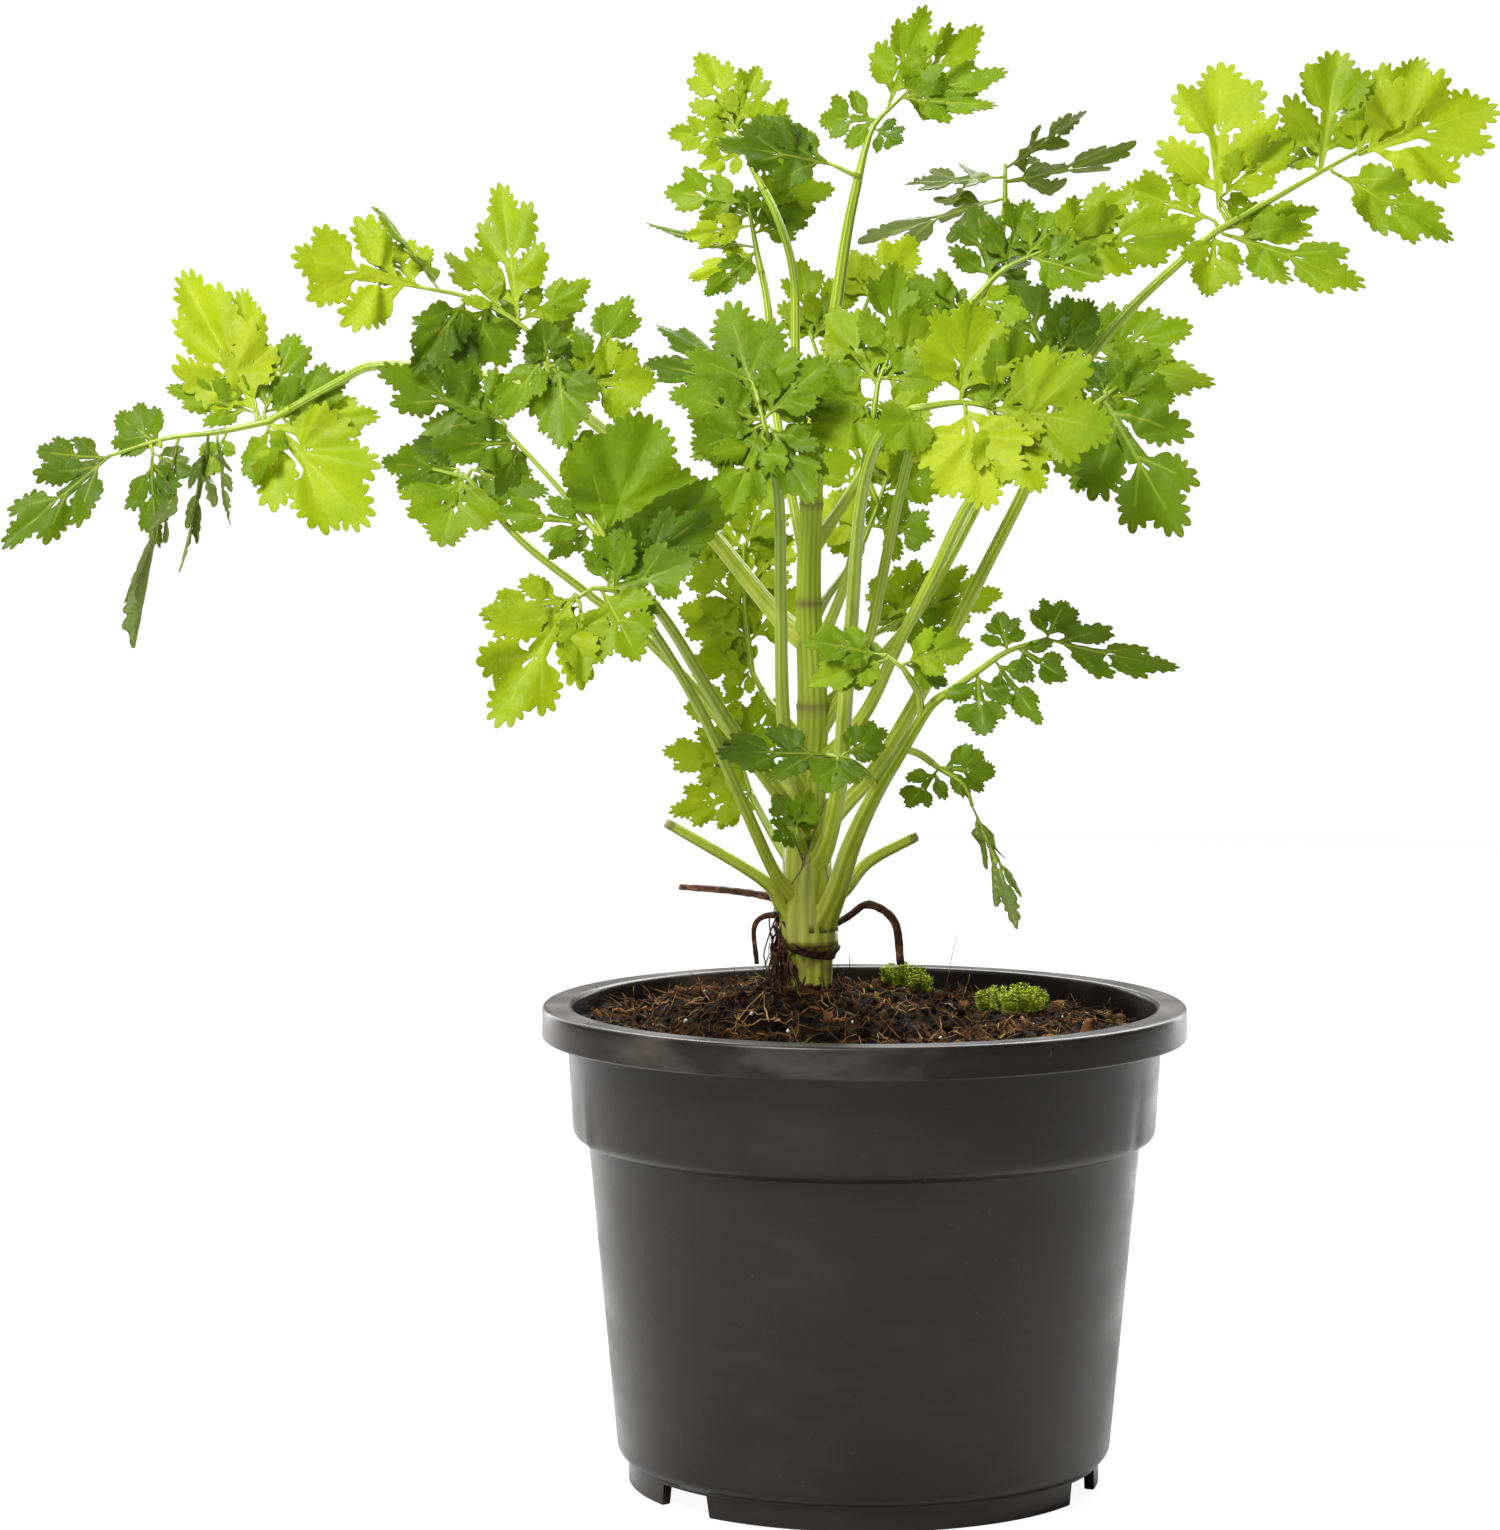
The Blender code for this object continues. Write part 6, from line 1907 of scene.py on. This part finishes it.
@dataclass
class Sprigs:
    """The cut stubs, the dried stalks and the loose roots at the crown."""

    crown_x: float = -12.7 * MM
    fibres: int = 110
    rng: random.Random = field(default_factory=lambda: random.Random(9))

    def build(self, skin: bpy.types.Material) -> None:
        """Builds and shows them all.

        Args:
            skin: the stalks' material.
        """
        dry, pale = DRY_STALK.material(), CUT_END.material()
        for name, points, (first, last) in SPRIGS:
            path = smooth_path([spread(*point) for point in points], 1.2 * MM)
            buffer = MeshBuffer(values=("along", "crest", "ring"))
            radii = tapered(first * MM, last * MM, len(path))
            if name.startswith("dry"):
                radii = [r * (1 + 0.22 * noise.noise(p * 900)) for r, p in zip(radii, path)]
                shape, faces, along, crest = tube(path, radii, 14, 4, 0.16, 0.55)
                buffer.add(shape, faces, along=along, crest=crest)
                show(buffer.build(name + "_husk", [dry]), "dry_stalk", name)
                continue
            shape, faces, along, crest = tube(path, radii, 18, 5, 0.08)
            ring = [0.8 if share > 0.96 else 0.0 for share in along]
            buffer.add(shape, faces, along=[0.3 * share for share in along], crest=crest, ring=ring)
            out = (path[-1] - path[-2]).normalized()
            cap = [path[-1] - out * 0.3 * MM, path[-1] + out * 0.1 * MM]
            buffer.add(*tube(cap, [last * MM * 0.86] * 2, 14)[:2], 1)
            show(buffer.build(name + "_stub", [skin, pale]), "stalk_skin", name)
        self.roots(dry)

    def roots(self, dry: bpy.types.Material) -> None:
        """Brown fibres round the crown, most of them tangled on its left.

        Args:
            dry: the dried stalks' material.
        """
        rng = self.rng
        buffer = MeshBuffer()
        for number in range(self.fibres):
            tangled = number % 5 > 0
            angle = math.radians(rng.gauss(176, 26)) if tangled else rng.uniform(0, 2 * math.pi)
            height = rng.uniform(117, 136) if tangled else rng.uniform(115, 121)
            out, points = rng.uniform(5.3, 8.8), []
            for _ in range(7):
                away = Vector((math.cos(angle), math.sin(angle), 0)) * out * MM
                points.append(AXIS + away + Vector((self.crown_x, 0, height * MM)))
                angle += rng.uniform(-0.28, 0.28)
                out = max(5.8, out + rng.uniform(-0.9, 1.5))
                height = max(114.5, height - rng.uniform(0.2, 4.6))
            path = smooth_path(points, 0.9 * MM)
            radius = rng.uniform(0.12, 0.36) * MM * (2.2 if rng.random() < 0.2 else 1)
            if all((b - a).length > 0.02 * MM for a, b in zip(path, path[1:])):
                buffer.add(*tube(path, tapered(radius, 0.07 * MM, len(path)), 6, 0, 0, 0.5)[:2])
        self.husk(buffer)
        show(buffer.build("crown_fibres", [dry]), "dry_stalk")

    def husk(self, buffer: MeshBuffer) -> None:
        """Adds the torn papery rim that runs round the crown, and scraps of it below.

        Args:
            buffer: the mesh it joins.
        """
        rng, steps, rows = self.rng, 96, 5
        for husk in HUSKS:
            upper, lower = [], []
            phase = rng.uniform(0, 9)
            for j in range(steps + 1):
                angle = math.radians(husk.start + husk.turn * j / steps)
                place = Vector((math.cos(angle), math.sin(angle), phase)) * 3.4
                jag = 0.5 + 0.5 * noise.fractal(place, 0.6, 2.3, 4)
                lift = 1.6 * math.cos(angle - math.radians(150))
                for i in range(rows):
                    share = i / (rows - 1)
                    out = (husk.reach - 0.9 + (0.5 + 1.3 * jag) * share ** 2) * MM
                    away = Vector((math.cos(angle), math.sin(angle), 0))
                    height = (husk.low + lift + husk.rise * share * (0.35 + jag)) * MM
                    place = AXIS + Vector((self.crown_x, 0, height))
                    upper.append(place + away * out)
                    lower.append(place + away * (out - 0.3 * MM))
            quads = [(j * rows + i, (j + 1) * rows + i, (j + 1) * rows + i + 1, j * rows + i + 1)
                     for j in range(steps) for i in range(rows - 1)]
            buffer.add(*slab(upper, lower, quads))


@dataclass(frozen=True)
class Lamp:
    """A soft rectangular lamp, placed from the pot's axis, that faces a point on it."""

    name: str
    place: Point3
    aim: float  # the point's height
    size: Point2
    watts: float

    def build(self) -> None:
        """Adds the lamp to the scene."""
        data = bpy.data.lights.new(self.name, "AREA")
        data.shape = "RECTANGLE"
        data.size, data.size_y = self.size
        data.energy = self.watts
        lamp = bpy.data.objects.new(self.name, data)
        place = AXIS + Vector(self.place)
        lamp.location = place
        aim = AXIS + Vector((0, 0, self.aim))
        lamp.rotation_euler = (aim - place).to_track_quat("-Z", "Y").to_euler()
        bpy.context.scene.collection.objects.link(lamp)


LAMPS = (
    Lamp("key_above_left", (-0.55, -0.75, 1.25), 0.24, (0.5, 0.5), 31),
    Lamp("strip_left", (-0.62, 0.95, 0.30), 0.12, (0.14, 1.0), 4.5),
    Lamp("strip_right", (0.62, 0.95, 0.30), 0.12, (0.14, 1.0), 4.5),
    Lamp("sheen_front", (-0.42, -1.25, 0.30), 0.06, (0.12, 0.7), 2.5),
    Lamp("behind_above", (0.15, 0.9, 1.0), 0.26, (1.2, 0.8), 32),
)


@dataclass
class Studio:
    """A pale floor, a white room, soft lamps and the camera."""

    eye: Vector = field(default_factory=lambda: AXIS + Vector((0, -1.1, 0.2564)))
    pitch: float = 4.62  # degrees down
    turn: float = 1.385  # degrees to the left
    lens: float = 111.9
    ambient: float = 0.22
    room_seen: float = 1.05  # how bright the camera sees the room
    floor_radius: float = 1.6
    floor_grey: float = 0.62
    floor_glow: float = 1.1
    glow_share: float = 0.85  # how much of the floor's glow the camera sees

    def floor(self) -> None:
        """A round pale floor that glows a little, as lit from all round."""
        bpy.ops.object.select_all(action="DESELECT")
        bpy.ops.mesh.primitive_circle_add(
            vertices=96, radius=self.floor_radius, fill_type="NGON", location=(AXIS.x, AXIS.y, -0.05 * MM))
        floor = bpy.context.object
        floor.name = "studio_floor"
        material, tree, shader = material_nodes("floor_white")
        shader.inputs["Base Color"].default_value = (*[self.floor_grey] * 3, 1)
        shader.inputs["Roughness"].default_value = 0.9
        shader.inputs["Specular IOR Level"].default_value = 0.0
        glow = tree.nodes.new("ShaderNodeEmission")
        glow.inputs["Color"].default_value = (1, 1, 1, 1)
        glow.inputs["Strength"].default_value = self.floor_glow
        camera_ray = tree.nodes.new("ShaderNodeLightPath").outputs["Is Camera Ray"]
        seen = value_range(tree, camera_ray, 0, 1, 0.0, self.glow_share)
        blend(tree, seen, shader, glow, "Material Output")
        floor.data.materials.append(material)

    def room(self) -> None:
        """The white room: bright where it is seen, and dimmer as a light."""
        world = bpy.data.worlds.new("white_room")
        world.use_nodes = True
        tree = world.node_tree
        light, seen = tree.nodes["Background"], tree.nodes.new("ShaderNodeBackground")
        for node, strength in ((light, self.ambient), (seen, self.room_seen)):
            node.inputs["Color"].default_value = (1, 1, 1, 1)
            node.inputs["Strength"].default_value = strength
        camera_ray = tree.nodes.new("ShaderNodeLightPath").outputs["Is Camera Ray"]
        blend(tree, camera_ray, light, seen, "World Output")
        bpy.context.scene.world = world

    def build(self) -> None:
        """Sets up the room, the lamps and the camera."""
        bpy.context.scene.view_settings.view_transform = "Standard"
        self.room()
        self.floor()
        for lamp in LAMPS:
            lamp.build()
        data = bpy.data.cameras.new("camera")
        data.lens = self.lens
        data.clip_start = 0.05
        camera = bpy.data.objects.new("camera", data)
        camera.location = self.eye
        camera.rotation_euler = (math.radians(90 - self.pitch), 0, math.radians(self.turn))
        bpy.context.scene.collection.objects.link(camera)
        bpy.context.scene.camera = camera


def main() -> None:
    """Builds the studio and every sub-assembly in order."""
    logging.basicConfig(level=logging.INFO, format="%(name)s %(message)s")
    Studio().build()
    pot = Pot()
    pot.build()
    soil = Soil(pot)
    soil.build()
    Moss("moss_cushion_left", 46, 5.8 * MM, 0.62, random.Random(21)).build(soil)
    Moss("moss_cushion_right", 80, 5.4 * MM, 0.8, random.Random(22)).build(soil)
    stem_skin, stalk_skin = STEM_SKIN.material(), STALK_SKIN.material()
    Stem().build(stem_skin)
    tissue = LeafFinish().material()
    for plan in LEAVES:
        Leaf(plan, LOOKS[plan.name], tissue, stalk_skin).build()
    Sprigs().build(stalk_skin)


if __name__ == "__main__":
    main()
